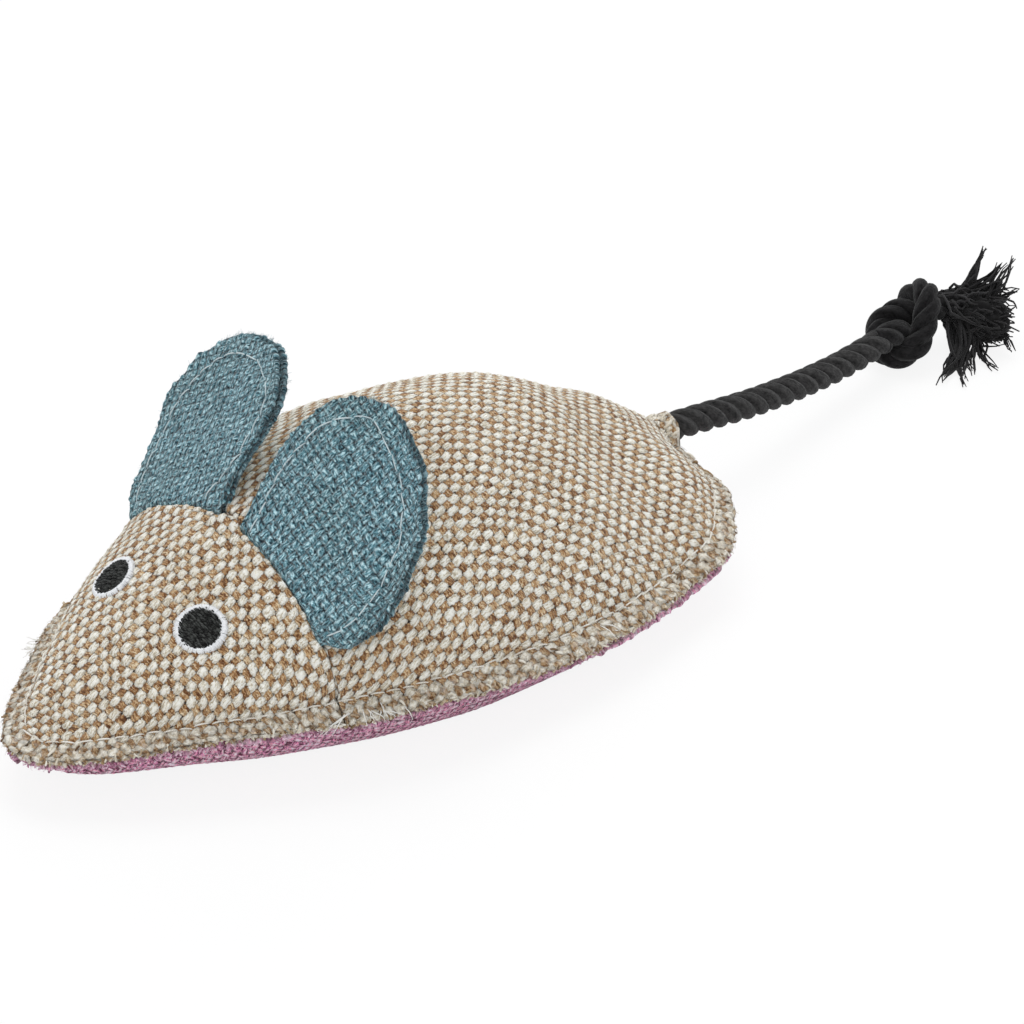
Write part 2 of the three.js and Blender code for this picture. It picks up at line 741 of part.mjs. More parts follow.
// Frayed tuft
const tuftProfile = tuftShares.map(([r, h]) => new THREE.Vector2(r * tuftRadius, h * tuftLength));
const tuftForm = new THREE.LatheGeometry(tuftProfile, tuftSides);
tuftForm.rotateZ(-Math.PI / 2).scale(1, tuftSpread, 1);
const tuft = addPiece(tail, "tail_tuft", tuftForm, blackColour, ropeRoughness);
tuft.rotation.set(0, -tuftLift, knotHeading + tuftSwing, "ZYX");
tuft.position.copy(knotPoints.at(-1)).applyEuler(knotTurn).add(knot.position);
tuft.position.addScaledVector(alongTail, tuftGap);

// How near the knotted rope comes to itself, leaving out what lies within one bend of it
const bendShare = 1.45;
const samplesPerStep = 4;

function leastKnotGap() {
    const path = new THREE.CatmullRomCurve3(knotPoints, false, "centripetal");
    const samples = path.getSpacedPoints(samplesPerStep * knotSteps);
    const spacing = path.getLength() / (samplesPerStep * knotSteps);
    const apart = Math.ceil(bendShare * knotRopeWidth / spacing);
    let least = Infinity;
    samples.forEach((point, i) => samples.slice(i + apart).forEach((other) => {
        least = Math.min(least, point.distanceTo(other));
    }));
    return least - 2 * knotRadius;
}
console.log(`least gap of the knotted rope to itself: ${leastKnotGap().toFixed(2)} mm`);

export default part;
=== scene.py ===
# %% [markdown]
# # A stuffed catnip mouse
# The toy is sewn from coarse cloth: two top panels, a mauve belly, two ears of doubled cloth and a tail of
# twisted rope with a knot and a frayed end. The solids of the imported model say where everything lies. Each of
# them is dressed here with cloth, thread or rope that looks like the real thing and takes up the same place.

import json
import math

import bpy
import numpy as np
from mathutils import Matrix, Vector


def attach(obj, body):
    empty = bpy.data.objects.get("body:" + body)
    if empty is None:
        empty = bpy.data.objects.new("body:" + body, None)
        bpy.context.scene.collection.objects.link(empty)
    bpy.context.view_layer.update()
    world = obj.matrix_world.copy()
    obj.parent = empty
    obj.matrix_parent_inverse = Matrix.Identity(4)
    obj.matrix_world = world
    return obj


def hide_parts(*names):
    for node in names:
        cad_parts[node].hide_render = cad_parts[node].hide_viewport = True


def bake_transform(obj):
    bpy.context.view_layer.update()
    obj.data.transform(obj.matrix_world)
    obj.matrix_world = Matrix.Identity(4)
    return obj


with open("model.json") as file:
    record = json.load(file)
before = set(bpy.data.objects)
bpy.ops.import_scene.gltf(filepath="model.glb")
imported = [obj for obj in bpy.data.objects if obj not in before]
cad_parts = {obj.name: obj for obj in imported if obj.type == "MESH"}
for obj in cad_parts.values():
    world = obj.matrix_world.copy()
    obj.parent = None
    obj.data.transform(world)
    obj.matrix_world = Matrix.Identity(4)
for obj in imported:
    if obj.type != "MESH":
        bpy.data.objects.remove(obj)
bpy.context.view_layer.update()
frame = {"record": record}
MM = 0.001

# %% [markdown]
# ## Camera
# The photograph looks down on the mouse's left side and its face, from about 1.3 metres away, with a long lens.
# A camera is placed by its own axes here, because its slight roll is easier to give that way than as three
# angles.

# %% Place the camera
camera_right = Vector((0.67973, 0.73255, 0.03660))
camera_up = Vector((-0.40241, 0.33075, 0.85362))
camera_look = Vector((-0.61321, 0.59496, -0.51961))
camera_place = Vector((0.8293, -0.7623, 0.7189))

bpy.ops.object.select_all(action="DESELECT")
bpy.ops.object.camera_add()
camera = bpy.context.object
camera.name = "photo_camera"
turned = Matrix((camera_right, camera_up, -camera_look)).transposed().to_4x4()
camera.matrix_world = Matrix.Translation(camera_place) @ turned
camera.data.sensor_width = 36
camera.data.lens = 224.3
camera.data.clip_start = 0.05
camera.data.clip_end = 30
bpy.context.scene.camera = camera
print("camera at", tuple(round(x, 4) for x in camera.location))

# %% [markdown]
# ## Lines and tubes
# Rope, thread and yarn all follow a line. The line is drawn smoothly through a few points, then cut into even
# steps, and two directions square to it are carried along without any twist of their own. Whatever winds round
# the line, such as the strands of a rope, is then measured from those two directions.

# %% Smooth lines and the directions beside them
def unit(vectors):
    return vectors / np.maximum(np.linalg.norm(vectors, axis=-1, keepdims=True), 1e-12)


def run_of(line):
    """How far along the line each of its points lies."""
    return np.concatenate([[0], np.cumsum(np.linalg.norm(np.diff(line, axis=0), axis=1))])


def read_at(marks, run, line):
    """Places on a line, at marks counted in the same way as its run."""
    return np.stack([np.interp(marks, run, line[:, k]) for k in range(line.shape[1])], axis=-1)


def evenly(line, step):
    """The same line, cut into even steps."""
    run = run_of(line)
    return read_at(np.linspace(0, run[-1], max(int(round(run[-1] / step)), 2) + 1), run, line)


def smooth_line(points, step):
    """A smooth line through the points, in even steps of about the given length."""
    points = np.asarray(points, float)
    ends = np.vstack([2 * points[0] - points[1], points, 2 * points[-1] - points[-2]])
    drawn = []
    for a, b, c, d in zip(ends, ends[1:], ends[2:], ends[3:]):
        knots = np.cumsum([0, *(np.linalg.norm(q - p) ** 0.5 for p, q in ((a, b), (b, c), (c, d)))])
        t = np.linspace(knots[1], knots[2], 40, endpoint=False)[:, None]

        def between(p, q, i, j):
            return (knots[j] - t) / (knots[j] - knots[i]) * p + (t - knots[i]) / (knots[j] - knots[i]) * q

        ab, bc, cd = between(a, b, 0, 1), between(b, c, 1, 2), between(c, d, 2, 3)
        drawn.append(between(between(ab, bc, 0, 2), between(bc, cd, 1, 3), 1, 2))
    return evenly(np.vstack([*drawn, points[-1:]]), step)


def beside(line):
    """Two directions square to the line at each of its points, carried along without twist."""
    along = unit(np.gradient(line, axis=0))
    out = np.empty_like(along)
    out[0] = unit(np.cross(along[0], np.cross((0, 0, 1), along[0])))
    for k in range(1, len(line)):
        out[k] = unit(out[k - 1] - along[k] * (out[k - 1] @ along[k]))
    return out, np.cross(along, out)


# %% [markdown]
# ## Cloth from a flat grid
# Every piece of cloth starts flat, as a cut piece does, and is then laid onto its form. A grid primitive does
# the same: its points are moved to where the form has them, and each keeps the place that it had on the flat
# cut. The weave is drawn from that place, so it follows the cloth round every curve. A tube is a grid too, only
# rolled up and welded along its edge.

# %% Lay a flat grid onto a form
def leave_none_selected():
    bpy.ops.object.select_all(action="DESELECT")


def select_only(piece):
    leave_none_selected()
    bpy.context.view_layer.objects.active = piece
    piece.select_set(True)


def flat_grid(name, rows, columns):
    """A flat grid, and its points' numbers in rows and columns."""
    leave_none_selected()
    bpy.ops.mesh.primitive_grid_add(x_subdivisions=columns, y_subdivisions=rows, size=2)
    piece = bpy.context.object
    piece.name = piece.data.name = name
    flat = np.empty(len(piece.data.vertices) * 3, np.float32)
    piece.data.vertices.foreach_get("co", flat)
    flat = flat.reshape(-1, 3).round(5)
    order = np.lexsort((flat[:, 0], flat[:, 1])).reshape(rows + 1, columns + 1)
    return piece, order


def lay(piece, order, points, cut):
    """Moves a grid's points, given in millimetres, and notes where each lies on the flat cut."""
    places = np.empty((order.size, 3), np.float32)
    places[order.ravel()] = points.reshape(-1, 3) * MM
    piece.data.vertices.foreach_set("co", places.ravel())
    flat = np.empty((order.size, 2), np.float32)
    flat[order.ravel()] = cut.reshape(-1, 2)
    corners = np.empty(len(piece.data.loops), np.int32)
    piece.data.loops.foreach_get("vertex_index", corners)
    piece.data.uv_layers[0].name = "cut"
    piece.data.uv_layers[0].data.foreach_set("uv", flat[corners].ravel())
    piece.data.update()


def note(piece, order, name, values):
    """Keeps one number for each point of a laid grid, for its material to read."""
    kept = np.empty(order.size, np.float32)
    kept[order.ravel()] = np.broadcast_to(values, order.shape).ravel()
    piece.data.attributes.new(name, "FLOAT", "POINT").data.foreach_set("value", kept)


def weld(piece, closed):
    """Joins points that meet, such as the two edges of a rolled tube, and turns a closed pad's faces outwards."""
    select_only(piece)
    bpy.ops.object.mode_set(mode="EDIT")
    bpy.ops.mesh.select_all(action="SELECT")
    bpy.ops.mesh.remove_doubles(threshold=2e-6)
    if closed:
        bpy.ops.mesh.normals_make_consistent(inside=False)
    bpy.ops.object.mode_set(mode="OBJECT")


def smooth(piece):
    select_only(piece)
    bpy.ops.object.shade_smooth()
    return piece


def laid(name, points, cut, fray_and_shade=None, closed=False):
    """A sheet laid onto rows of points. Where given, its material reads a number for each point: how frayed the
    cloth is there; on ear cloth, the painted shadow there instead.
    """
    piece, order = flat_grid(name, points.shape[0] - 1, points.shape[1] - 1)
    lay(piece, order, points, cut)
    if fray_and_shade is not None:
        note(piece, order, "fray_and_shade", fray_and_shade)
    weld(piece, closed)
    return smooth(piece)


def outward(points):
    """The direction square to a laid grid at each of its points."""
    return unit(np.cross(np.gradient(points, axis=1), np.gradient(points, axis=0)))


def tube(name, line, radius, sides):
    """A round tube, closed to a point at both ends. Its flat cut runs along the line, and round it in turns."""
    out, over = beside(line)
    turn = np.linspace(0, 2 * math.pi, sides + 1)[None, :, None]
    ring = out[:, None] * np.cos(turn) + over[:, None] * np.sin(turn)
    rings = line[:, None] + ring * np.broadcast_to(radius, len(line))[:, None, None]
    first, last = (np.repeat(end[None], sides + 1, axis=1) for end in (line[:1], line[-1:]))
    run = run_of(line)
    run = np.concatenate([run[:1], run, run[-1:]])
    cut = np.stack(np.broadcast_arrays(run[:, None], np.linspace(0, 1, sides + 1)[None]), axis=-1)
    return laid(name, np.concatenate([first, rings, last]), cut)


# %% [markdown]
# ## Many copies of one model
# A frayed edge has hundreds of yarn ends, and a seam a hundred stitches. One of them is modelled, and its mesh is
# then copied to every place, bent and turned there by a little code. All copies go into one mesh, because they
# are one piece of the toy.

# %% Copy a modelled yarn to many places
def mesh_of(piece):
    """The points, faces and flat cut of a modelled piece, which is then taken away."""
    data = piece.data
    points = np.array([v.co for v in data.vertices]) / MM
    faces = [tuple(p.vertices) for p in data.polygons]
    cut = np.array([c.uv for c in data.uv_layers["cut"].data])
    bpy.data.objects.remove(piece)
    return points, faces, cut


def model_yarn(rings, sides):
    """A straight yarn, which runs along X from 0 to 1 with a radius of 1, to be bent onto lines."""
    line = np.stack([np.linspace(0, 1, rings), np.zeros(rings), np.zeros(rings)], axis=-1)
    return mesh_of(tube("yarn_model", line, 1, sides))


def bent(points, line, widths):
    """A modelled yarn's points, moved onto a line."""
    at = np.clip(points[:, 0], 0, 1) * (len(line) - 1)
    low = np.minimum(at.astype(int), len(line) - 2)
    rest = (at - low)[:, None]
    out, over = beside(line)
    blend = lambda a: a[low] * (1 - rest) + a[low + 1] * rest
    width = np.interp(points[:, 0], np.linspace(0, 1, len(widths)), widths)
    return blend(line) + (blend(out) * points[:, 1:2] + blend(over) * points[:, 2:3]) * width[:, None]


def copies(name, model, lines, widths, tones):
    """One mesh of a yarn on each line. The widths along it are given for each yarn, or once for all of them."""
    points, faces, cut = model
    count = len(points)
    widths = np.broadcast_to(widths, (len(lines), np.shape(widths)[-1]))
    placed = np.concatenate([bent(points, line, width) for line, width in zip(lines, widths)])
    data = bpy.data.meshes.new(name)
    data.from_pydata((placed * MM).tolist(), [],
                     [tuple(k * count + i for i in face) for k in range(len(lines)) for face in faces])
    layer = data.uv_layers.new(name="cut")
    layer.data.foreach_set("uv", np.tile(cut, (len(lines), 1)).astype(np.float32).ravel())
    tone = data.attributes.new("tone", "FLOAT", "POINT")
    tone.data.foreach_set("value", np.repeat(np.asarray(tones, np.float32), count))
    data.polygons.foreach_set("use_smooth", [True] * len(data.polygons))
    piece = bpy.data.objects.new(name, data)
    bpy.context.scene.collection.objects.link(piece)
    data.update()
    return piece


def gentle(points, size, seed):
    """A smooth, seeded unevenness of about -1 to 1 over the given size, for lumps and folds in cloth."""
    dice = np.random.default_rng(seed)
    points = np.asarray(points, float)
    total, waves = np.zeros(points.shape[:-1]), 14
    for _ in range(waves):
        way = unit(dice.normal(size=points.shape[-1])) * 2 * math.pi / (size * dice.uniform(0.7, 1.6))
        total += np.sin(points @ way + dice.uniform(0, 2 * math.pi))
    return total / math.sqrt(waves)


# %% [markdown]
# ## The tail rope
# The tail is a soft black cotton rope of 6.4 mm, laid up from three strands. It comes out of the seam at the
# back, sags to the floor and ends in an overhand knot. Its line repeats the points that the solid tail has.
# Each strand is a tube wound round that line, which gives the rope its grooves and its scalloped outline from
# every side. A twisted pattern painted on one smooth tube would lose both.

# %% The rope's line, from its sewn-in end to the knot and through it
tail_end = 88.0
rope_radius = 3.2
rope_points = np.array([
    (0, -14, 19.7), (0, -8, 19.7), (0, -2, 19.7), (0, 4, 19.3), (-0.2, 9, 18.5), (-0.5, 14, 17.6),
    (-0.9, 20, 16.5), (-1.5, 26, 15.3), (-2.3, 32, 14.2), (-3.2, 38, 13.1), (-4.2, 44, 12), (-5.3, 50, 11),
    (-6.4, 56, 10.1), (-7.5, 62, 9.4), (-8.6, 69, 9), (-9.7, 75.9, 9),
]) + (0, tail_end, 0)
rope_line = smooth_line(rope_points, 0.5)

knot_rope = 6.1
knot_half = np.array([
    (0.31, -0.14, 0.4), (0.64, 0, 0.74), (0.96, 0.34, 0.93), (1.16, 0.8, 0.94), (1.2, 1.26, 0.75),
    (1.08, 1.6, 0.41), (0.8, 1.75, 0.02), (0.44, 1.67, -0.31), (0.08, 1.39, -0.49), (-0.1, 1.2, -0.5),
    (-0.26, 1.03, -0.43), (-0.41, 0.89, -0.3), (-0.58, 0.785, -0.16), (-0.79, 0.715, -0.05),
    (-1.03, 0.675, 0.01), (-1.5, 0.65, 0.04), (-2, 0.65, 0.04),
]) * knot_rope * (1, 0.87, 0.87)
knot_points = np.vstack([knot_half[::-1], [(0, -0.12 * knot_rope, 0)], knot_half * (-1, 1, -1)])
knot_heading = math.radians(99)
knot_turn = np.array(Matrix.Rotation(knot_heading, 3, "Z") @ Matrix.Rotation(math.radians(-22), 3, "X"))
knot_points = (knot_points - knot_points[0]) @ knot_turn.T + rope_line[-1] + 0.3 * knot_turn[:, 0]
knot_line = smooth_line(knot_points, 0.4)
whole_line = evenly(np.vstack([rope_line, knot_line[1:]]), 0.4)
knot_start = int(np.argmin(np.linalg.norm(whole_line - knot_points[0], axis=1)))
print(f"rope {run_of(rope_line)[-1]:.0f} mm, knot {run_of(knot_line)[-1]:.0f} mm of rope")

# %% Wind three strands round the line
rope_lay = 14.6
strand_place, strand_radius = 0.42, 0.6
fineness = np.interp(np.arange(len(whole_line)), [0, knot_start - 12, knot_start + 12, len(whole_line) - 1],
                     [rope_radius, rope_radius, 3.05, 3.0])


def rope_piece(name, start, end):
    """The rope between two steps of its line: three strands, wound to the right, joined as one piece."""
    out, over = beside(whole_line)
    strands = []
    for number in range(3):
        turn = 2 * math.pi * (run_of(whole_line) / rope_lay + number / 3)[:, None]
        middle = whole_line + fineness[:, None] * strand_place * (out * np.cos(turn) + over * np.sin(turn))
        strands.append(tube(f"{name}_{number}", middle[start:end + 1], fineness[start:end + 1] * strand_radius, 14))
    select_only(strands[0])
    for strand in strands:
        strand.select_set(True)
    bpy.ops.object.join()
    piece = bpy.context.object
    piece.name = piece.data.name = name
    return piece


rope = rope_piece("rope_tail", 0, knot_start)
knot = rope_piece("rope_knot", knot_start, len(whole_line) - 1)
print("rope", len(rope.data.polygons), "knot", len(knot.data.polygons), "faces")

# %% [markdown]
# ## The frayed end
# Past the knot the rope is unpicked into a matted ball of curly yarn, with clumps that stick out above it and
# hang to the floor below. One yarn is modelled and bent onto some six hundred lines. Most of them wander
# from the knot to a place on the ball. The rest run together in clumps, whose tips were placed by sighting
# through the camera. A dark lump in the middle keeps light from showing through.

# %% Sight a place through the camera
view_middle, view_reach = 512, 6380
look, right, up = (np.array(way) for way in (camera_look, camera_right, camera_up))
lens = np.array(camera_place) / MM


def in_view(across, down, nearer):
    """The place seen at a pixel, as far away as the end of the knot or a little nearer, and above the floor."""
    sight = look + right * (across - view_middle) / view_reach - up * (down - view_middle) / view_reach
    far = (tuft_start - lens) @ look - nearer
    return lens + min(far, (0.6 - lens[2]) / sight[2]) * sight


def curly_line(dice, points, curl, count=12):
    """A yarn through a few places that curls on its way and stays above the floor."""
    line = evenly(smooth_line(points, 0.5), 1.0)
    line = read_at(np.linspace(0, len(line) - 1, count), np.arange(len(line)), line)
    share = np.linspace(0, 1, count)[:, None]
    for beat in (1.3, 2.9):
        line = line + curl / beat * np.minimum(3 * share, 1) * np.sin(
            2 * math.pi * (dice.uniform(0.7, 1.3, 3) * beat * share + dice.random(3)))
    line[:, 2] = np.maximum(line[:, 2], 0.25 + 0.5 * share[:, 0] * dice.random())
    return line


# %% Matt the yarns into a ball
tuft_start, knot_way = whole_line[-1], knot_turn[:, 0]
dice = np.random.default_rng(7)
yarn_model = model_yarn(11, 4)
ball_place, ball_size, ball_yarns = in_view(982, 319, 1.0), np.array((7.0, 6.2, 6.2)), 470
brush, widths = [], []
for _ in range(ball_yarns):
    way = unit(dice.normal(size=3) + 0.35 * knot_way)
    end = ball_place + way * ball_size * dice.uniform(0.8, 1.1)
    middle = tuft_start + 0.5 * (end - tuft_start) + dice.normal(size=3) * 1.3
    start = tuft_start + dice.normal(size=3) * 0.9 - 1.2 * knot_way
    second = start + 2.5 * knot_way + dice.normal(size=3) * 0.5
    brush.append(curly_line(dice, [start, second, middle, end], 1.25))
    widths.append((0.36, 0.38, 0.36, 0.16))

# %% Let clumps stick out of it
clumps = [((966, 293), (974, 272), (987, 249), 0, 15), ((992, 296), (1000, 277), (1010, 256), 0, 15),
          ((972, 292), (990, 274), (1004, 266), 0, 15), ((958, 338), (951, 362), (939, 384), 7, 15),
          ((960, 340), (958, 364), (962, 385), 8, 15), ((966, 340), (971, 360), (976, 374), 7, 15),
          ((980, 338), (986, 354), (997, 369), 5, 15), ((1000, 330), (1006, 340), (1010, 350), 3, 15),
          ((1004, 308), (1012, 306), (1020, 310), 0, 8), ((1002, 294), (1008, 290), (1016, 290), 0, 15)]
for root, bend, tip, nearer, count in clumps:
    sighted = [in_view(*place, nearer * share) for place, share in ((root, 0.4), (bend, 0.8), (tip, 1))]
    route = np.array([tuft_start + 1.5 * knot_way, *sighted]) + dice.normal(size=(4, 3)) * 0.4
    for _ in range(count):
        own = dice.normal(size=(4, 3)) * np.array((0.6, 1.1, 0.7, 0.45))[:, None]
        line = curly_line(dice, route + own, 0.5)
        brush.append(line[:dice.integers(9, 13)])
        widths.append((0.34, 0.36, 0.32, 0.12))
tuft = copies("rope_tuft", yarn_model, brush, widths, dice.random(len(brush)))
low = min(float(line[:, 2].min()) for line in brush)
print("tuft yarns", len(brush), "lowest", round(low, 2), "mm")

# %% The dense middle of the ball
leave_none_selected()
bpy.ops.mesh.primitive_ico_sphere_add(subdivisions=4, radius=1, location=(0, 0, 0))
core = bpy.context.object
core.name = core.data.name = "rope_tuft_core"
ball = np.array([v.co for v in core.data.vertices])
lumps = 0.8 + 0.16 * gentle(ball, 0.5, 3)
neck = np.clip(-(ball @ knot_way), 0, 1)[:, None] ** 3
formed = ball * lumps[:, None] * ball_size + ball_place
formed += neck * (tuft_start - knot_way - formed) * 0.8
formed[:, 2] = np.maximum(formed[:, 2], 0.4)
core.data.vertices.foreach_set("co", (formed * MM).astype(np.float32).ravel())
core.data.uv_layers[0].name = "cut"
smooth(core)

def settle(slot, *pieces):
    """Fixes finished pieces to the mouse's body. The slot is not used."""
    for piece in pieces:
        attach(piece, "body")


settle("rope", rope, knot, tuft, core)
for piece, node in ((rope, "tail_rope"), (knot, "tail_knot"), (tuft, "tail_tuft")):
    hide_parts(node)
leaves_at = rope_line[rope_line[:, 1] > tail_end - 1.5][0]
tuple(leaves_at * MM)
round(float(run_of(rope_line)[-1]) * MM, 4)


# %% [markdown]
# ## The stitched body's form
# The body is drawn by one angle that runs from the nose round to the tail along the stitch line, and by a share
# from -1 to 1 across it. The same formulas made the solid panels, so the cloth lies where they do, but for what
# cloth does by itself: the rope's seam draws the tail end in, the filling pushes the corners beside it out, and
# the back sinks a little before it. Whatever is sewn onto the body asks these functions for its place.

# %% Points on the dome, the rim and the belly
body_length, half_width, dome_height = 176.0, 41.0, 40.0
belly_depth, seam_height, head_length = 19.0, 14.0, 50.7
width_swell, height_swell = (1, -0.12, -0.06, -0.29), (1, -0.24, -0.67, -0.05)
nose_fullness, tail_fullness = 2.38, 1.05
rim_width, side_droop, end_lift, belly_below = 5.6, 34, 8, 2.5
nose = np.array((0, -body_length / 2, seam_height))


def swell(shares, angle):
    return sum(share * np.cos(angle) ** power for power, share in enumerate(shares))


def angle_at(along):
    return np.arccos(np.clip(1 - 2 * np.asarray(along) / body_length, -1, 1))


def along_at(angle):
    return body_length * (1 - np.cos(angle)) / 2


def width_at(angle):
    return half_width * np.sin(angle) * swell(width_swell, angle)


def stitch_height(angle):
    bow = (2.7 + 6.9 * np.cos(angle)) * np.sin(angle) ** 2
    return bow + 5.5 * (along_at(angle) / body_length) ** 8


def ease(low, high, value):
    """Goes smoothly from 0 at the low value to 1 at the high one."""
    share = np.clip((value - low) / (high - low), 0, 1)
    return share * share * (3 - 2 * share)


def dome(angle, across):
    """A point of the stuffed top, from the left-hand stitch line at -1 over the ridge to the other at 1."""
    angle, across = np.broadcast_arrays(np.asarray(angle, float), np.asarray(across, float))
    fall = lambda a: (a * a + 0.0625) ** 0.7 - 0.0625 ** 0.7
    along = along_at(angle)
    fullness = nose_fullness + (tail_fullness - nose_fullness) * along / body_length
    crown = np.maximum(1 - fall(across) / fall(1.0), 0) ** (1 / fullness)
    rise = dome_height * np.abs(np.sin(angle)) ** 0.9 * swell(height_swell, angle)
    rise = rise * (1 - 0.085 * ease(126, 150, along))
    x = across * width_at(angle)
    hips = 1.7 * np.exp(-((along - 156) / 7.5) ** 2) * across ** 2
    drawn_in = 4.6 * ease(22, 8, np.abs(x)) * ease(150, 172, along)
    return np.stack([x + 0.8 * hips * np.sign(across), along + 0.5 * hips - drawn_in,
                     stitch_height(angle) + rise * crown], -1) + nose


def rim(angle, side, out, up):
    """A point of the raw rim, out from the stitch line and up from the cloth."""
    angle, side, out, up = np.broadcast_arrays(*(np.asarray(x, float) for x in (angle, side, out, up)))
    run = (along_at(angle + 1e-4) - along_at(angle - 1e-4)) / 2
    spread = (width_at(angle + 1e-4) - width_at(angle - 1e-4)) / 2
    away = unit(np.stack([run * side, -spread, np.zeros_like(run)], -1))
    droop = np.radians(side_droop - end_lift * np.cos(angle) ** 2)[..., None]
    upright = np.array((0, 0, 1.0))
    reach = away * np.cos(droop) - upright * np.sin(droop)
    face = away * np.sin(droop) + upright * np.cos(droop)
    return dome(angle, side) + reach * out[..., None] + face * up[..., None]


def belly(angle, across):
    """A point of the stuffed underside, which is flat where the mouse rests."""
    edge = rim(angle, 1, 0, -belly_below)
    full = np.maximum(1 - np.abs(across) ** 5, 0) ** 0.5
    shallower = 1 - 0.1 * np.exp(-((along_at(angle) - 30) / 24) ** 2)
    drop = belly_depth * np.abs(np.sin(angle)) ** 0.8 * full * shallower
    return np.stack([across * edge[..., 0], edge[..., 1] + 0 * drop, np.maximum(edge[..., 2] - drop, 0)], -1)


seam_angle = float(angle_at(head_length))
fine_angles = np.linspace(0, math.pi, 2001)
ridge_run = run_of(dome(fine_angles, 0.0))
stitch_run = run_of(dome(fine_angles, 1.0))
mean_run = (ridge_run + stitch_run) / 2
print(f"ridge {ridge_run[-1]:.0f} mm, stitch line {stitch_run[-1]:.0f} mm a side")

# %% [markdown]
# ## Hopsack
# The top cloth is a hopsack. Thick soft cream yarns run from nose to tail, and bundles of thin brown ones cross
# them. Each floats over the other in turn, so from above the cloth shows a chequer of cream and brown cells with
# dark corners where the yarns dive. A place on the cloth is given by two counts of yarns, one each way. The counts
# were fitted to the weave in the photograph: the head is cut on the grain, and the back 12 to 21 degrees off it.
# The mesh takes the broad part of the relief, so that the outline is knobbly too, and the material adds the
# yarns, their fibres and the shade of the deep corners, which is painted.

# %% Count the yarns
def head_count(cut):
    u, v = cut[..., 0], np.clip(cut[..., 1], -42, 42)
    beyond = cut[..., 1] - v
    first = u * (0.5 + 4.9e-5 * v ** 2) - 0.00435 * v ** 2
    return np.stack([first, 0.54 * v - 2e-5 * v ** 3 + 0.43 * beyond], -1)


def back_count(cut):
    u, v = cut[..., 0], np.clip(cut[..., 1], -52, 52)
    beyond = cut[..., 1] - v
    second = 0.135 * u + 0.66 * v - 2.2e-5 * v ** 3 + 0.48 * beyond
    return np.stack([0.4 * u - 0.155 * cut[..., 1], second], -1)


def belly_count(cut):
    return cut * 0.53


ear_grain = {"left": np.array(((0.613, 0.06), (0.006, 0.537))),
             "right": np.array(((0.596, 0.116), (0.122, 0.622)))}


def weave_height(yarns, even):
    """The broad relief of the weave: every float is a knob, and those of the first yarns stand a little higher."""
    wave = np.cos(math.pi * yarns[..., 0]) * np.cos(math.pi * yarns[..., 1])
    return 0.6 * wave * wave + even * wave


def wander(cut, seed):
    """Yarns never lie quite straight: the places on the cut shift a little, smoothly."""
    return cut + 0.25 * np.stack([gentle(cut, 11, seed), gentle(cut, 11, seed + 1)], -1)

# %% [markdown]
# ## The head and back panels
# On the real toy these are two pieces of the same cloth. Each is sewn to the belly by a running stitch that
# leaves its raw edge standing out as a rim, and the two meet behind the eyes, where their edges turn inwards
# with the ears between them. One row of the grid runs from under one rim, over it, up the dome and down to the
# other rim. The last rows turn in at the cross seam. Subdivided primitives would not follow such a form, and a
# cloth simulation would lose the measured outline.

# %% Rows from rim to rim
edge_turn = np.linspace(0, math.pi, 5)[None]
rim_shares = np.linspace(0, 1, 12)[None, 1:-1]
ear_seats = ((-0.86, -0.03), (0.14, 0.89))


def even_angles(start, end, count):
    """Angles that cut the way from nose to tail into even steps along the cloth."""
    runs = np.interp([start, end], fine_angles, mean_run)
    return np.interp(np.linspace(*runs, count + 1), mean_run, fine_angles)


def even_shares(surface, angles, count):
    """For each row, the shares across it that cut the cloth into even steps, and how far out each lies."""
    dense = np.sin(np.linspace(-math.pi / 2, math.pi / 2, 241))
    runs = np.array([run_of(row) for row in surface(angles[:, None], dense[None])])
    shares = np.array([np.interp(np.linspace(0, run[-1], count + 1), run, dense) for run in runs])
    return shares, np.linspace(-runs[:, -1] / 2, runs[:, -1] / 2, count + 1, axis=1)


def seam_gap(across, toward):
    """How far a panel's edge stands off the cross seam: wide where an ear comes out of it, closed elsewhere."""
    wide = sum(np.clip((across - a + 0.02) / 0.04, 0, 1) * np.clip((b - across + 0.02) / 0.04, 0, 1)
               for a, b in ear_seats)
    return (1.08 if toward > 0 else 0.95) * np.clip(wide, 0, 1)


def seam_inward(across):
    """The way into the body, square to the cross seam."""
    run = dome(seam_angle, across + 1e-3) - dome(seam_angle, across - 1e-3)
    return unit(np.stack([run[..., 2], np.zeros_like(run[..., 2]), -run[..., 0]], -1))


def along_rim(angle, side):
    """How far along the stitches a place lies, and that place on a flat strip with one row for each side."""
    run = np.interp(angle, fine_angles, stitch_run)
    return run, np.stack([run, side * 40.0 + 0 * run], -1)


def rim_unevenness(angle, side, seed):
    """How the cut edge wanders in and out, in millimetres. Near the nose, the left side is trimmed closer."""
    run, place = along_rim(angle, side)
    trimmed = 1.2 * np.exp(-((run - 34) / 26) ** 2) * (np.asarray(side) > 0)
    return 0.3 * gentle(place, 22, seed) + 0.16 * gentle(place, 4, seed + 5) - trimmed


def rim_wave(angle, side):
    """How the cut edge goes up and down, in millimetres."""
    _, place = along_rim(angle, side)
    return 0.3 * gentle(place, 30, 31) + 0.12 * gentle(place, 9, 36)


def rim_fold(angle, side, width, shares, start, end, skip):
    """A rim's points, out from the stitches at one height, round the cut edge and back in at another.
    With them go the places of the three stretches: how far out their points lie."""
    wave, steps, half = rim_wave(angle, side), shares * width, abs(start - end) / 2
    turned = width - half + half * np.sin(edge_turn)
    back = steps[:, ::-1][:, skip:]
    points = [rim(angle, side, steps, wave * shares + start),
              rim(angle, side, turned, wave + (start + end) / 2 + (start - end) / 2 * np.cos(edge_turn)),
              rim(angle, side, back, wave * shares[:, ::-1][:, skip:] + end)]
    return np.concatenate(points, axis=1), steps, turned, back


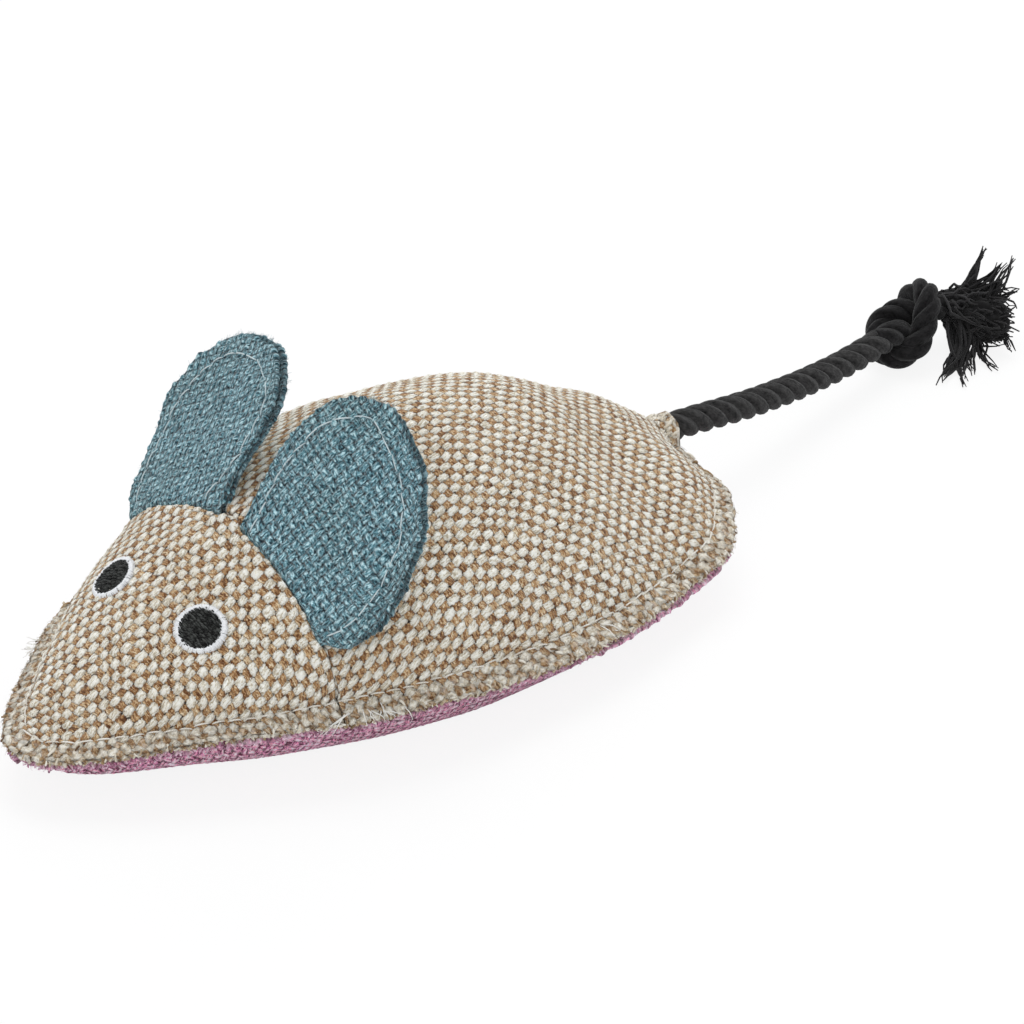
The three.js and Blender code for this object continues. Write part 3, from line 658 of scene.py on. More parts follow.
def with_rims(middle, cut, rim_rows):
    """Sets a rim on both sides of a laid panel. rim_rows gives one side's points and flat cut."""
    left, right = (rim_rows(side, column) for side, column in ((-1, 0), (1, -1)))
    return [np.concatenate([a[:, ::-1], whole, b], axis=1) for a, whole, b in zip(left, (middle, cut), right)]

# %% Lay out one top panel with its rims and its turned-in edge
lip_radius, turned_depth = 0.8, 4.0


def seam_side(angle, across, toward):
    """The angle of a row near the seam, moved so that its edge stops short of the seam by the gap and the lip."""
    stop = angle_at(head_length - toward * (seam_gap(across, toward) + lip_radius))
    if toward > 0:
        return angle * stop / seam_angle
    return math.pi - (math.pi - angle) * (math.pi - stop) / (math.pi - seam_angle)


def dome_dents(points, shares, angles, out):
    """Lumps of filling under the cloth, the puckers that the stitches draw into it, and a lip at the seam."""
    from_stitch = np.abs(out[:, -1:]) - np.abs(out)
    lumps = (0.4 * gentle(points, 34, 3) + 0.1 * gentle(points, 13, 4)) * (1 - np.abs(shares) ** 6)
    run = np.interp(angles, fine_angles, stitch_run)[:, None]
    place = np.stack(np.broadcast_arrays(run, np.sign(shares) * 50.0, 0 * shares), -1)
    puckers = 0.13 * gentle(place, 6.5, 8) * np.exp(-from_stitch / 5)
    from_seam = np.abs(points[..., 1] - nose[1] - head_length)
    lip = 0.55 * np.exp(-(from_seam / 2.6) ** 2) * np.clip(from_stitch / 4, 0, 1)
    return lumps + puckers * np.clip(from_stitch / 1.5, 0, 1) + lip


def turn_in(points, flat, shares, toward):
    """Adds the rows that bend over at the cross seam and run into the body."""
    last = -1 if toward > 0 else 0
    rim_columns = (points.shape[1] - shares.shape[1]) // 2
    across = np.pad(shares[last], rim_columns, constant_values=(-1.0, 1.0))
    inward = seam_inward(across * 0.995) * np.clip((1 - np.abs(across)) / 0.06, 0, 1)[:, None]
    forward = np.array((0, toward, 0.0))
    rows, cuts = [], []
    for turn in np.radians((18, 36, 54, 72, 90)):
        rows.append(points[last] + lip_radius * (math.sin(turn) * forward + (1 - math.cos(turn)) * inward))
        cuts.append(flat[last] + (toward * lip_radius * turn, 0))
    for depth in np.linspace(0, turned_depth, 6)[1:]:
        rows.append(rows[4] + depth * inward)
        cuts.append(cuts[4] + (toward * depth, 0))
    if toward > 0:
        return np.concatenate([points, rows]), np.concatenate([flat, cuts])
    return np.concatenate([rows[::-1], points]), np.concatenate([cuts[::-1], flat])


def panel_grid(start, end, toward, rows, columns):
    """A top panel's points and flat cut, before its weave is raised. toward is 1 with the seam at its end."""
    angles = even_angles(start, end, rows)
    shares, out = even_shares(dome, angles, columns)
    moved = seam_side(angles[:, None], shares, toward)
    middle = dome(moved, shares)
    cut = np.stack([np.interp(moved, fine_angles, mean_run), out], -1)
    middle = middle + outward(middle) * dome_dents(middle, shares, angles, out)[..., None]

    def rim_rows(side, column):
        angle = moved[:, column][:, None]
        width = rim_width + rim_unevenness(angle, side, 21)
        points, steps, turned, back = rim_fold(angle, side, width, rim_shares, 0, -1, 2)
        reach = np.concatenate([steps, turned + edge_turn * 0.3, 2 * width - back], axis=1)
        along, away = np.gradient(cut[:, column, 0]), np.gradient(np.abs(cut[:, column, 1]))
        way = unit(np.stack([-away, side * along], -1))
        return points, cut[:, column][:, None] + reach[..., None] * way[:, None]

    return turn_in(*with_rims(middle, cut, rim_rows), shares, toward)

# %% Round the cloth over the rope where it leaves the body
def round_rope(points, way):
    """Lifts the top cloth over the rope, with way 1, or presses the belly cloth under it, with way -1."""
    x, y, z = np.moveaxis(points, -1, 0)
    middle_x, middle_z = (np.interp(y, rope_points[:, 1], rope_points[:, k]) for k in (0, 2))
    clear = rope_radius + 0.55
    arch = np.sqrt(np.maximum(clear ** 2 - (x - middle_x) ** 2, 0))
    near = np.clip((y - 72) / 9, 0, 1) * (np.abs(x - middle_x) < clear)
    moved = way * np.maximum(way * z, way * middle_z + arch)
    return np.stack([x, y, z + (moved - z) * near], -1)

# %% Make the two panels
top_relief, head_columns, back_columns, fray_start = 0.34, 236, 252, 2.4


def woven_sheet(name, points, flat, count_yarns, relief, seed, columns, pitch, even=0.3):
    """Raises the weave on a laid-out grid and makes the cloth of it. Past its own columns, the rim frays."""
    rim_columns = (points.shape[1] - columns - 1) // 2
    column = np.arange(points.shape[1])
    past = np.maximum(rim_columns - column, column - (len(column) - 1 - rim_columns))
    fray_and_shade = np.clip(pitch * past / fray_start, 0, 1)
    loose = np.stack([gentle(flat, 3, seed + 3), gentle(flat, 3, seed + 4)], -1)
    yarns = count_yarns(wander(flat, seed) + 0.3 * fray_and_shade[:, None] * loose)
    height = relief * weave_height(yarns, even) * (1 - 0.5 * fray_and_shade) + 0.2 * fray_and_shade * gentle(flat, 1.7, seed + 6)
    return laid(name, points + outward(points) * height[..., None], yarns, fray_and_shade)


points, flat = panel_grid(0, seam_angle, 1, 214, head_columns)
head_cloth = woven_sheet("head_cloth", points, flat, head_count, top_relief, 11, head_columns, 0.5)
points, flat = panel_grid(seam_angle, math.pi, -1, 305, back_columns)
points = round_rope(points, 1)
back_cloth = woven_sheet("back_cloth", points, flat, back_count, top_relief, 12, back_columns, 0.5)
print("head", len(head_cloth.data.polygons), "back", len(back_cloth.data.polygons), "faces")

# %% [markdown]
# ## The belly
# The underside is one mauve piece. Its rim lies under the rim of the top cloth, and it is flat where the
# filling's weight presses it on the floor. It is laid out as the top panels are, with the outside facing down.

# %% Make the belly
belly_relief, belly_columns = 0.24, 190


def belly_grid(rows, columns):
    """The belly's points and flat cut, with its outside facing down."""
    angles = even_angles(0, math.pi, rows)
    angle = angles[:, None]
    shares, out = even_shares(belly, angles, columns)
    middle = belly(angle, shares)
    lumps = 0.5 * gentle(middle, 30, 41) * (1 - np.abs(shares) ** 4)
    middle = middle - outward(middle) * lumps[..., None]
    middle[..., 2] = np.maximum(middle[..., 2], 0.35)
    cut = np.stack([np.broadcast_to(np.interp(angle, fine_angles, mean_run), out.shape), out], -1)

    def rim_rows(side, column):
        fuller = 1.1 * np.sin(math.pi * np.clip((along_at(angle) - 90) / 80, 0, 1))
        width = rim_width + 0.2 + fuller + rim_unevenness(angle, side, 51)
        points, steps, _, back = rim_fold(angle, side, width, rim_shares[:, 1::2], -belly_below, -1.6, 1)
        reach = np.concatenate([steps, width + edge_turn * 0.3, 2 * width - back], axis=1)
        return points, cut[:, column][:, None] + reach[..., None] * np.array((0, side))

    return (part[:, ::-1] for part in with_rims(middle, cut, rim_rows))


points, flat = belly_grid(300, belly_columns)
points = round_rope(points, -1)
belly_cloth = woven_sheet("belly_cloth", points, flat, belly_count, belly_relief, 13, belly_columns, 1.0, even=0.1)
print("belly", len(belly_cloth.data.polygons), "faces")


def pad(piece, slot, node):
    """Fixes a padded piece to the body and hides the solid that it stands for."""
    settle(slot, piece)
    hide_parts(node)


pad(head_cloth, "top_cloth", "head_panel")
pad(back_cloth, "top_cloth", "back_panel")
pad(belly_cloth, "belly_cloth", "belly_panel")

# %% [markdown]
# ## Filling
# Two pads of filling lie a few millimetres inside the cloth. Each is a closed sheet, drawn from the dome or the
# belly and turned back on itself at the height of the stitches. Where the pads meet they leave room for the wad
# of catnip, and the upper one for the end of the rope that is sewn in.

# %% Two pads inside the cloth
wad = np.array([v.co for v in bpy.data.objects["catnip_wad"].data.vertices]) / MM
wad_middle, wad_half = (wad.max(0) + wad.min(0)) / 2, (wad.max(0) - wad.min(0)) / 2 + 0.8


def filling_pad(name, surface, way, shrink):
    """A pad under the dome, with way 1, or over the belly, with way -1."""
    outer = surface(np.linspace(0, math.pi, 81)[:, None], np.linspace(-1, 1, 49))
    middle = np.array((0, 0, outer[40, 0, 2]))
    outer = middle + (outer - middle) * shrink
    inner = outer.copy()
    inner[..., 2] = outer[:, :1, 2]
    off = np.linalg.norm((inner - wad_middle)[..., :2] / wad_half[:2], axis=-1)
    over_wad = way * wad_middle[2] + wad_half[2] * np.sqrt(np.maximum(1 - off ** 2, 0))
    groove = np.sqrt(np.maximum((rope_radius + 0.8) ** 2 - inner[..., 0] ** 2, 0))
    in_groove = (groove > 0) & (inner[..., 1] > rope_line[:, 1].min() - 1) & (way > 0)
    room = np.maximum(np.where(off < 1, over_wad, -np.inf), np.where(in_groove, rope_line[0, 2] + groove, -np.inf))
    inner[..., 2] = way * np.minimum(np.maximum(way * inner[..., 2], room), way * outer[..., 2])
    points = np.concatenate([outer, inner[:, ::-1]], axis=1)
    return laid(name, points, points[..., :2], closed=True)


upper_pad = filling_pad("filling_upper", dome, 1, (0.88, 0.9, 0.88))
lower_pad = filling_pad("filling_lower", belly, -1, (0.88, 0.9, 0.84))
pad(upper_pad, "filling", "stuffing_upper")
pad(lower_pad, "filling", "stuffing_lower")
print("filling", len(upper_pad.data.polygons), "and", len(lower_pad.data.polygons), "faces")

# %% [markdown]
# ## Running stitch
# A single pale thread goes in and out through both cloths, a little outside the dome. What shows is a row of
# short stitches, each dipping into the cloth at its ends. One stitch is modelled and copied along the line, with
# a little difference in length, height and direction each time, as a machine on thick cloth leaves them.

# %% One stitch and its copies round the body
stitch_model = model_yarn(8, 6)
thread_width = np.array((0.13, 0.17, 0.18, 0.17, 0.13))


def stitch_lines(path, lift, seed, length=3.1, gap=0.4, dip=0.55):
    """Short arcs along a path that dive at both ends. lift gives the direction away from the cloth."""
    dice = np.random.default_rng(seed)
    run = run_of(path)
    lines, at = [], 0.0
    share = np.linspace(-1, 1, 9)[:, None]
    while at + length < run[-1]:
        span = length * dice.uniform(0.86, 1.12)
        marks = np.linspace(at, min(at + span, run[-1]), 9)
        line, up = read_at(marks, run, path), read_at(marks, run, lift)
        side = unit(np.cross(up, np.gradient(line, axis=0)))
        line = line - up * dip * share ** 4 + side * (0.16 * share * dice.normal() + 0.12 * dice.normal())
        lines.append(line + up * 0.08 * dice.normal())
        at += span + gap * dice.uniform(0.6, 1.5)
    return lines


past_tail = math.pi - 0.13
around = np.linspace(-past_tail, past_tail, 1400)
low_path, stitch_path, high_path = (rim(np.abs(around), np.where(around < 0, -1.0, 1.0), 0.35, level)
                                    for level in (0.0, 0.4, 1.0))
perimeter = stitch_lines(stitch_path, unit(high_path - low_path), 61)
seam_stitches = copies("perimeter_stitches", stitch_model, perimeter, thread_width,
                       np.random.default_rng(62).random(len(perimeter)))
settle("seam_thread", seam_stitches)
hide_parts("perimeter_thread")
print("stitches", len(perimeter))

# %% [markdown]
# ## The raw edges
# A cut cloth frays: short yarn ends stand out of the rim, and fine fibres stand out of the yarns. Each is one
# yarn model of a few faces, bent onto its own line. The mix of cream and brown ends comes from a number that
# each copy carries and its material reads.

# %% Yarn ends round the rim
yarn_end, hair = model_yarn(5, 4), model_yarn(4, 3)
hair_width = (0.04, 0.035, 0.02)
steps_up = np.linspace(0, 1, 5)


def fringe(seed, count, reach, droop, lift, start_in=1.2):
    """Lines that stand out from the rim all round, for yarn ends or fibres."""
    dice = np.random.default_rng(seed)
    lines = []
    for _ in range(count):
        run = dice.uniform(0.4, stitch_run[-1] - 0.4)
        side = dice.choice((-1.0, 1.0))
        angle = np.interp(run, stitch_run, fine_angles)
        width = rim_width + rim_unevenness(angle, side, 21)
        far = width + dice.uniform(*reach)
        slip = dice.normal() * 0.012
        level = dice.uniform(*lift) - droop * steps_up ** 2 * dice.uniform(0, 1) + rim_wave(angle, side)
        angles = np.clip(angle + slip * steps_up ** 2, 0.001, math.pi - 0.001)
        line = rim(angles, side, np.linspace(width - start_in, far, 5), level)
        if abs(line[-1, 0]) > 4.2 or line[-1, 1] < 80:
            lines.append(line)
    return lines


def matted(seed, count):
    """Short yarn ends that lie over the frayed rim, from the stitches outwards, and lift off at their tips."""
    dice = np.random.default_rng(seed)
    lines = []
    for _ in range(count):
        run, side = dice.uniform(0.4, stitch_run[-1] - 6), dice.choice((-1.0, 1.0))
        angle = np.interp(run + steps_up * dice.normal() * 1.2, stitch_run, fine_angles)
        width = rim_width + rim_unevenness(angle[:1], side, 21)[0]
        start = dice.uniform(0.15, 0.85) * width
        marks = np.linspace(start, min(start + dice.uniform(0.6, 1.5), width + 0.3), 5)
        lines.append(rim(angle, side, marks, np.array((-0.25, 0.1, 0.2, 0.15, -0.05)) + dice.uniform(-0.1, 0.2)))
    return lines


def tapered(dice, thinnest, thickest, count, tip=0.7):
    """Chance widths for yarn ends, each thinner at its tip."""
    return np.outer(dice.uniform(thinnest, thickest, count), (1, 1, tip))


# %% Make the yarn ends and fibres of both cloths
dice = np.random.default_rng(72)
top_ends = fringe(71, 640, (0.0, 0.5), 0.4, (-0.8, -0.1)) + matted(76, 60)
top_hairs = fringe(73, 1300, (0.1, 1.0), 0.7, (-0.9, 0.1), start_in=0.3)
belly_ends = fringe(74, 760, (0.1, 0.8), 0.4, (-2.2, -1.5))
belly_hairs = fringe(75, 1100, (0.1, 1.0), 0.8, (-2.3, -1.4), start_in=0.5)
rim_yarns = copies("rim_yarn_ends", yarn_end, top_ends, tapered(dice, 0.2, 0.44, len(top_ends)),
                   dice.random(len(top_ends)))
rim_fibres = copies("rim_fibres", hair, top_hairs, hair_width, dice.random(len(top_hairs)))
belly_yarns = copies("belly_yarn_ends", yarn_end, belly_ends, tapered(dice, 0.2, 0.36, len(belly_ends)),
                     dice.random(len(belly_ends)))
belly_fibres = copies("belly_fibres", hair, belly_hairs, hair_width, dice.random(len(belly_hairs)))
settle("top_cloth", rim_yarns, rim_fibres)
settle("belly_cloth", belly_yarns, belly_fibres)
print("yarn ends", len(top_ends) + len(belly_ends), "fibres", len(top_hairs) + len(belly_hairs))

# %% [markdown]
# ## The ears
# Each ear is two layers of blue-green cloth, cut to one rounded shape, stitched together a little inside the raw
# edge and sewn into the cross seam. A grid runs from the seam up to the cut edge and back down the other side of
# the layer. The lower rows go down into the seam, as the sewn edge does.

# %% The sheet of an ear
ear_height, ear_lean = 39.0, math.radians(36)
ears = {
    "left": dict(side=1, seed=100, seat=(0.14, 0.89), rim=[
        (0, 0), (-0.16, 0.22), (-0.28, 0.5), (-0.27, 0.77), (-0.08, 0.97), (0.2, 1),
        (0.54, 0.93), (0.86, 0.75), (1.08, 0.46), (1.15, 0.23), (1.09, 0.04), (1, 0)]),
    "right": dict(side=-1, seed=200, seat=(0.03, 0.86), rim=[
        (0, 0), (-0.16, 0.27), (-0.34, 0.5), (-0.345, 0.7), (-0.16, 0.885), (0.19, 0.97),
        (0.48, 0.9), (0.7, 0.77), (0.9, 0.55), (1.03, 0.325), (1.055, 0.13), (1, 0)]),
}


class EarSheet:
    """Where an ear's sheet lies: its seat on the cross seam, its rim, and any point between them."""

    def __init__(self, side, seed, seat, rim):
        self.side, self.seed, self.seat_shares = side, seed, seat
        self.top = dome(seam_angle, side * seat[0])
        chord = dome(seam_angle, side * seat[1]) - self.top
        self.length = float(np.linalg.norm(chord))
        self.chord = chord / self.length
        self.out = np.array((-self.chord[2], 0, self.chord[0])) * side
        back = np.array((0, 1.0, 0))
        self.rise = self.out * math.cos(ear_lean) + back * math.sin(ear_lean)
        self.face = self.out * math.sin(ear_lean) - back * math.cos(ear_lean)
        self.origin = self.top + self.out * 0.7
        shaped = smooth_line([(s * self.length, t * ear_height, 0) for s, t in rim], 0.25)
        self.rim_line, self.rim_run = shaped[:, :2], run_of(shaped)

    def across(self, share):
        """Where on the seam a share of the seat lies, as the dome counts it."""
        return self.side * (self.seat_shares[0] + (self.seat_shares[1] - self.seat_shares[0]) * share)

    def seat(self, share):
        """The seat's line, flat and curved: along the ear, and how far the head bulges into it."""
        point = dome(seam_angle, self.across(share)) - self.top
        s, bulge = point @ self.chord, point @ self.out
        return np.stack([s, bulge * math.cos(ear_lean)], -1), bulge * math.sin(ear_lean)

    def edge(self, share):
        return read_at(np.asarray(share) * self.rim_run[-1], self.rim_run, self.rim_line)

    def away(self, flat):
        """The way out from the middle of the ear."""
        return unit(flat - (self.length / 2, ear_height * 0.45))

    def wave(self, flat, up):
        """How far the cloth stands off its plane, more towards the rim, where up is 1."""
        return 0.75 * gentle(flat, 26, self.seed + 7) * up ** 2 + 0.15 * gentle(flat, 8, self.seed + 9) * up

    def place(self, flat, lift, curve=0.0, up=1.0):
        """Where a point of the flat cut lies on the mouse. Near the seat, where up is 0, it follows the head."""
        level = lift * math.tan(ear_lean) * (1 - up)
        flat = flat - np.stack([0 * level, level], -1)
        lift = (curve + lift)[..., None] * self.face
        return self.origin + flat[..., :1] * self.chord + flat[..., 1:2] * self.rise + lift


# %% One layer of an ear
ear_rows, ear_columns, ply_thickness, ear_relief, ear_even = 90, 236, 0.85, 0.36, 0.15
sewn_depths, sewn_pinch = (0.9, 1.8, 2.7, 3.6, 4.5), (0.1, 0.2, 0.3, 0.5, 1.0)


def edge_shows(side, share):
    """How far the front layer's rim stands back, on the side of the ear where the back layer shows past it."""
    start, end = (0.4, 0.97) if side > 0 else (0.03, 0.55)
    return 1.1 * np.clip((share - start) / 0.12, 0, 1) * np.clip((end - share) / 0.12, 0, 1)


def ear_ply(name, sheet, grain, lift_at, shade, inset=0.0):
    """One layer of an ear as a closed sheet: front face, cut edge, back face, and the sewn edge below.
    The number that it keeps on each point is a painted shadow: on the cut edge, and by the given shade on the front
    face."""
    share, face = np.linspace(0, 1, ear_columns + 1)[None], np.zeros((ear_rows + 1, 1))
    climb = np.linspace(0, 1, ear_rows + 1)[:, None]
    bend = np.linspace(0, math.pi, 5)[1:-1][:, None]
    thick = ply_thickness * np.clip(np.minimum(share, 1 - share) / 0.02, 0, 1)
    depth = np.concatenate([face, (1 - np.cos(bend)) / 2, face + 1])
    bulb = np.concatenate([face, np.sin(bend) * 0.4, face])
    share, up = np.broadcast_arrays(share, np.concatenate([climb, np.ones((3, 1)), climb[::-1]]))
    low, bulge = sheet.seat(share)
    flat = low + (sheet.edge(share) - low) * up[..., None]
    cloth = wander(flat, sheet.seed)
    uneven = 0.45 * weave_height(cloth @ grain.T, ear_even) - 0.75 + 0.3 * gentle(flat, 9, sheet.seed + 2)
    reach = bulb + (uneven - inset * edge_shows(sheet.side, share)) * up ** 12
    flat = flat + sheet.away(flat) * reach[..., None]
    lift = lift_at(up) + sheet.wave(flat, up) - depth * thick
    points = sheet.place(flat, lift, bulge * (1 - up) ** 2, up)
    cloth = cloth + depth[..., None] * (0.5, 0.3)

    inward, middle = seam_inward(sheet.across(share[0])), (points[0] + points[-1]) / 2
    depths, pinch = (np.array(steps)[:, None, None] for steps in (sewn_depths, sewn_pinch))
    front_sewn, back_sewn = (row + inward * depths + (middle - row) * pinch for row in (points[0], points[-1]))
    down = np.concatenate([0 * depths, -depths], axis=-1)
    points = np.concatenate([front_sewn[::-1], points, back_sewn])
    yarns = np.concatenate([(cloth[:1] + down)[::-1], cloth, cloth[-1:] + down]) @ grain.T
    facing = outward(points)
    if np.mean(facing[ear_rows // 2] @ sheet.face) < 0:
        points, yarns, facing = points[:, ::-1], yarns[:, ::-1], -facing[:, ::-1]
    closing = np.clip(np.minimum(share[:1], 1 - share[:1]) / 0.02, 0, 1) * np.ones((len(points), 1))
    closing[[0, -1]] = 0
    raised = points + facing * (ear_relief * closing * weave_height(yarns, ear_even))[..., None]
    # The number kept on each point is a painted shadow: high on the cut edge, and on the front face by the given
    # shade.
    sewn = np.zeros((len(sewn_depths), 1))
    in_front = np.concatenate([sewn + 1, 1 - depth, sewn])
    cut_edge = np.concatenate([sewn, np.sqrt(np.maximum(4 * depth * (1 - depth), 0)), sewn])
    return laid(name, raised, yarns, np.maximum(shade * in_front, 0.45 * cut_edge))


# %% Its topstitch and its fuzz
front_lift, thread_lift, stitch_inset = 1.05, 0.34, 4.4


def topstitch_path(sheet):
    """The topstitch's line on the front layer, as far as it stays clear of the seat."""
    share = np.linspace(0.02, 0.98, 700)
    edge, (low, bulge) = sheet.edge(share), sheet.seat(share)
    spoke, tangent = low - edge, unit(np.gradient(edge, axis=0))
    slant = np.abs(spoke[:, 0] * tangent[:, 1] - spoke[:, 1] * tangent[:, 0])
    inward = (stitch_inset + 0.5 * edge_shows(sheet.side, share)) / np.maximum(slant, 1e-6)
    clear = np.flatnonzero(inward < 0.97)
    edge, spoke, inward, bulge = (part[clear[0]:clear[-1] + 1]
                                  for part in (edge, spoke, np.minimum(inward, 0.97), bulge))
    flat = edge + spoke * inward[:, None]
    lift = front_lift + thread_lift + sheet.wave(flat, 1 - inward)
    return sheet.place(flat, lift, bulge * inward ** 2, 1 - inward)


def ear_fuzz(sheet, count):
    """Lines for the fibres that stand out of an ear's cut edges, and the tone of each."""
    dice = np.random.default_rng(sheet.seed + 4)
    lines = []
    for _ in range(count):
        point, level = sheet.edge(dice.uniform(0.02, 0.98)), dice.uniform(-1.5, 0.9)
        sway = dice.normal(size=2) * 0.5
        marks = np.linspace(-1.4, dice.uniform(-0.4, 0.4), 5)[:, None]
        flat = point + (sheet.away(point) + sway * steps_up[:, None]) * marks
        level = level + 0.75 * gentle(point, 26, sheet.seed + 7)
        lines.append(sheet.place(flat, level + steps_up * dice.normal() * 0.4))
    return lines, dice.random(count)


# %% Make both ears
ear_pieces = {}
for name, form in ears.items():
    sheet, grain = EarSheet(**form), ear_grain[name]
    front = ear_ply(f"ear_{name}_front", sheet, grain, lambda up: front_lift + 0 * up, 0.0, inset=0.75)
    # The back layer's front face, where it shows past the front layer, is painted in shadow at 0.75.
    back = ear_ply(f"ear_{name}_back", sheet, grain, lambda up: -0.1 - 0.25 * up ** 2, 0.75)
    path = topstitch_path(sheet)
    stitches = stitch_lines(path, np.broadcast_to(sheet.face, path.shape), sheet.seed + 3,
                            length=3.8, gap=0.14, dip=0.42)
    thread = copies(f"ear_{name}_topstitches", stitch_model, stitches, 0.8 * thread_width,
                    np.random.default_rng(sheet.seed + 5).random(len(stitches)))
    fuzz, tones = ear_fuzz(sheet, 800)
    fibres = copies(f"ear_{name}_fibres", hair, fuzz, (0.035, 0.03, 0.02), tones)
    ear_pieces[name] = (sheet, front, back, thread, fibres)
    print(name, "ear: seat", round(sheet.length, 1), "mm,", len(stitches), "stitches")

# %% Bake the ears in place and hide their solids
joints = {joint["name"]: joint for joint in frame["record"]["behaviour"]["joints"]}
for name, (sheet, front, back, thread, fibres) in ear_pieces.items():
    hinge = np.array(joints[f"ear_{name}_fold"]["pos_m"])
    start, end = hinge + sheet.rise * 0.0005, hinge + sheet.rise * 0.0055
    for piece in (front, back, thread, fibres):
        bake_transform(piece)
    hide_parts(f"ear_{name}_front_ply", f"ear_{name}_seam_tab")
    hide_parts(f"ear_{name}_back_ply")
    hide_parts(f"ear_{name}_topstitch")

# %% [markdown]
# ## The eyes
# The eyes are machine embroidery: a black disc filled with short slanting stitches, and a white ring of satin
# stitch whose threads all run outwards from the middle. Every thread is a copy of one modelled stitch, laid on a
# padded form that follows the curve of the head, so the edges come out jagged as they do in thread.

# %% Lay thread on the head
def head_top(x, y):
    angle = angle_at(y)
    return dome(angle, x / width_at(angle))[..., 2]


eye_places = {1: (13.2, 32.1), -1: (-13.0, 31.4)}


def eye_frame(side):
    """The middle of an eye, the way out of the head there, and two directions along it."""
    (x, y), step = eye_places[side], 0.01
    slope_x = (head_top(x + step, y) - head_top(x - step, y)) / (2 * step)
    slope_y = (head_top(x, y + step) - head_top(x, y - step)) / (2 * step)
    normal = unit(np.array((-slope_x, -slope_y, 1)))
    across = unit(np.array((1, 0, slope_x)))
    return np.array((x, y + nose[1], head_top(x, y))), normal, across, np.cross(normal, across)


def on_eye(side, flat, height):
    """Places points, given on the flat of the eye, at a height over the head's own curve."""
    centre, normal, across, along = eye_frame(side)
    points = centre + flat[..., :1] * across + flat[..., 1:2] * along
    for _ in range(6):
        over = points[..., 2] - head_top(points[..., 0], points[..., 1] - nose[1])
        points = points - (over * normal[2])[..., None] * normal
    return points + np.asarray(height)[..., None] * normal


# %% The threads of an eye
ring_inner, ring_outer, ring_threads = 4.05, 5.42, 170
pupil_radius, pupil_row = 4.52, 0.33
thread_share = np.linspace(0, 1, 8)
thread_arch = np.sin(math.pi * thread_share)


def ring_lines(side, dice):
    """Satin threads that run outwards. The ring is slightly oval, on a slant from the nose to the cheek."""
    lines = []
    wide = math.radians(90 - 40 * side)
    for turn in np.arange(0, 2 * math.pi, 2 * math.pi / ring_threads):
        inner = ring_inner + dice.uniform(-0.1, 0.1)
        outer = ring_outer + 0.14 * math.cos(2 * (turn - wide)) + dice.uniform(-0.13, 0.1)
        turns = turn + dice.normal() * 0.006 + thread_share * dice.normal() * 0.02
        radius = inner + (outer - inner) * thread_share
        flat = np.stack([radius * np.cos(turns), radius * np.sin(turns)], -1)
        lines.append(on_eye(side, flat, 0.12 + 0.66 * thread_arch ** 0.5 + 0.025 * dice.normal()))
    return lines


def pupil_lines(side, dice):
    """Short stitches in rows that fill the disc."""
    lines = []
    for row in np.arange(-4.45, 4.46, pupil_row):
        half = math.sqrt(max(pupil_radius ** 2 - row ** 2, 0.0))
        at = -half - dice.uniform(0, 1.0)
        while at < half:
            length = dice.uniform(1.0, 1.9)
            first = max(at, -half - dice.uniform(-0.1, 0.3))
            last = min(at + length, half + dice.uniform(-0.1, 0.3))
            if last - first > 0.4:
                along = first + (last - first) * thread_share
                over = row + 0.1 * dice.normal() + dice.uniform(-0.05, 0.3) * (thread_share - 0.5)
                base = 0.42 + 0.3 * (1 - (np.hypot(along, over) / pupil_radius) ** 2)
                flat = np.stack([along, over], -1)
                lines.append(on_eye(side, flat, base + 0.26 * thread_arch + 0.07 * dice.normal()))
            at += length - 0.05
    return lines


def eye_bed(name, side, radius, low, high):
    """The padding under the thread, a low round cushion."""
    share = np.linspace(0, 1, 16)[:, None]
    turn = np.linspace(0, 2 * math.pi, 65)[None]
    flat = np.stack(np.broadcast_arrays(share * radius * np.cos(turn), share * radius * np.sin(turn)), -1)
    heights = np.broadcast_to(low + (high - low) * (1 - share ** 6), flat.shape[:2])
    cut = np.stack(np.broadcast_arrays(share, flat[..., 0]), -1)
    return laid(name, on_eye(side, flat, heights)[:, ::-1], cut)


# %% Embroider both eyes
eye_whites, eye_blacks = [], []
for name, side, seed in (("left", 1, 301), ("right", -1, 302)):
    dice = np.random.default_rng(seed)
    ring, fill = ring_lines(side, dice), pupil_lines(side, dice)
    dice = np.random.default_rng(seed + 10)
    white = copies(f"eye_{name}_satin", stitch_model, ring, (0.1, 0.14, 0.14, 0.11), dice.random(len(ring)))
    black = copies(f"eye_{name}_fill", stitch_model, fill, (0.08, 0.2, 0.2, 0.08), dice.random(len(fill)))
    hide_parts(f"eye_{name}_ring")
    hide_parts(f"eye_{name}_pupil")
    eye_whites += [white, eye_bed(f"eye_{name}_ring_bed", side, 5.3, 0.05, 0.55)]
    eye_blacks += [black, eye_bed(f"eye_{name}_pupil_bed", side, 4.35, 0.3, 0.72)]
    print(name, "eye:", len(ring), "ring threads,", len(fill), "fill stitches")
settle("eye_white", *eye_whites)
settle("eye_black", *eye_blacks)

# %% [markdown]
# ## The gathered cloth at the tail, and loose threads
# Where the rope leaves the body, the top cloth is drawn up round it and its cut edge makes a little collar of
# short cream ends. White strands hang over the rim where the cross seam's thread ends, and a few more elsewhere.

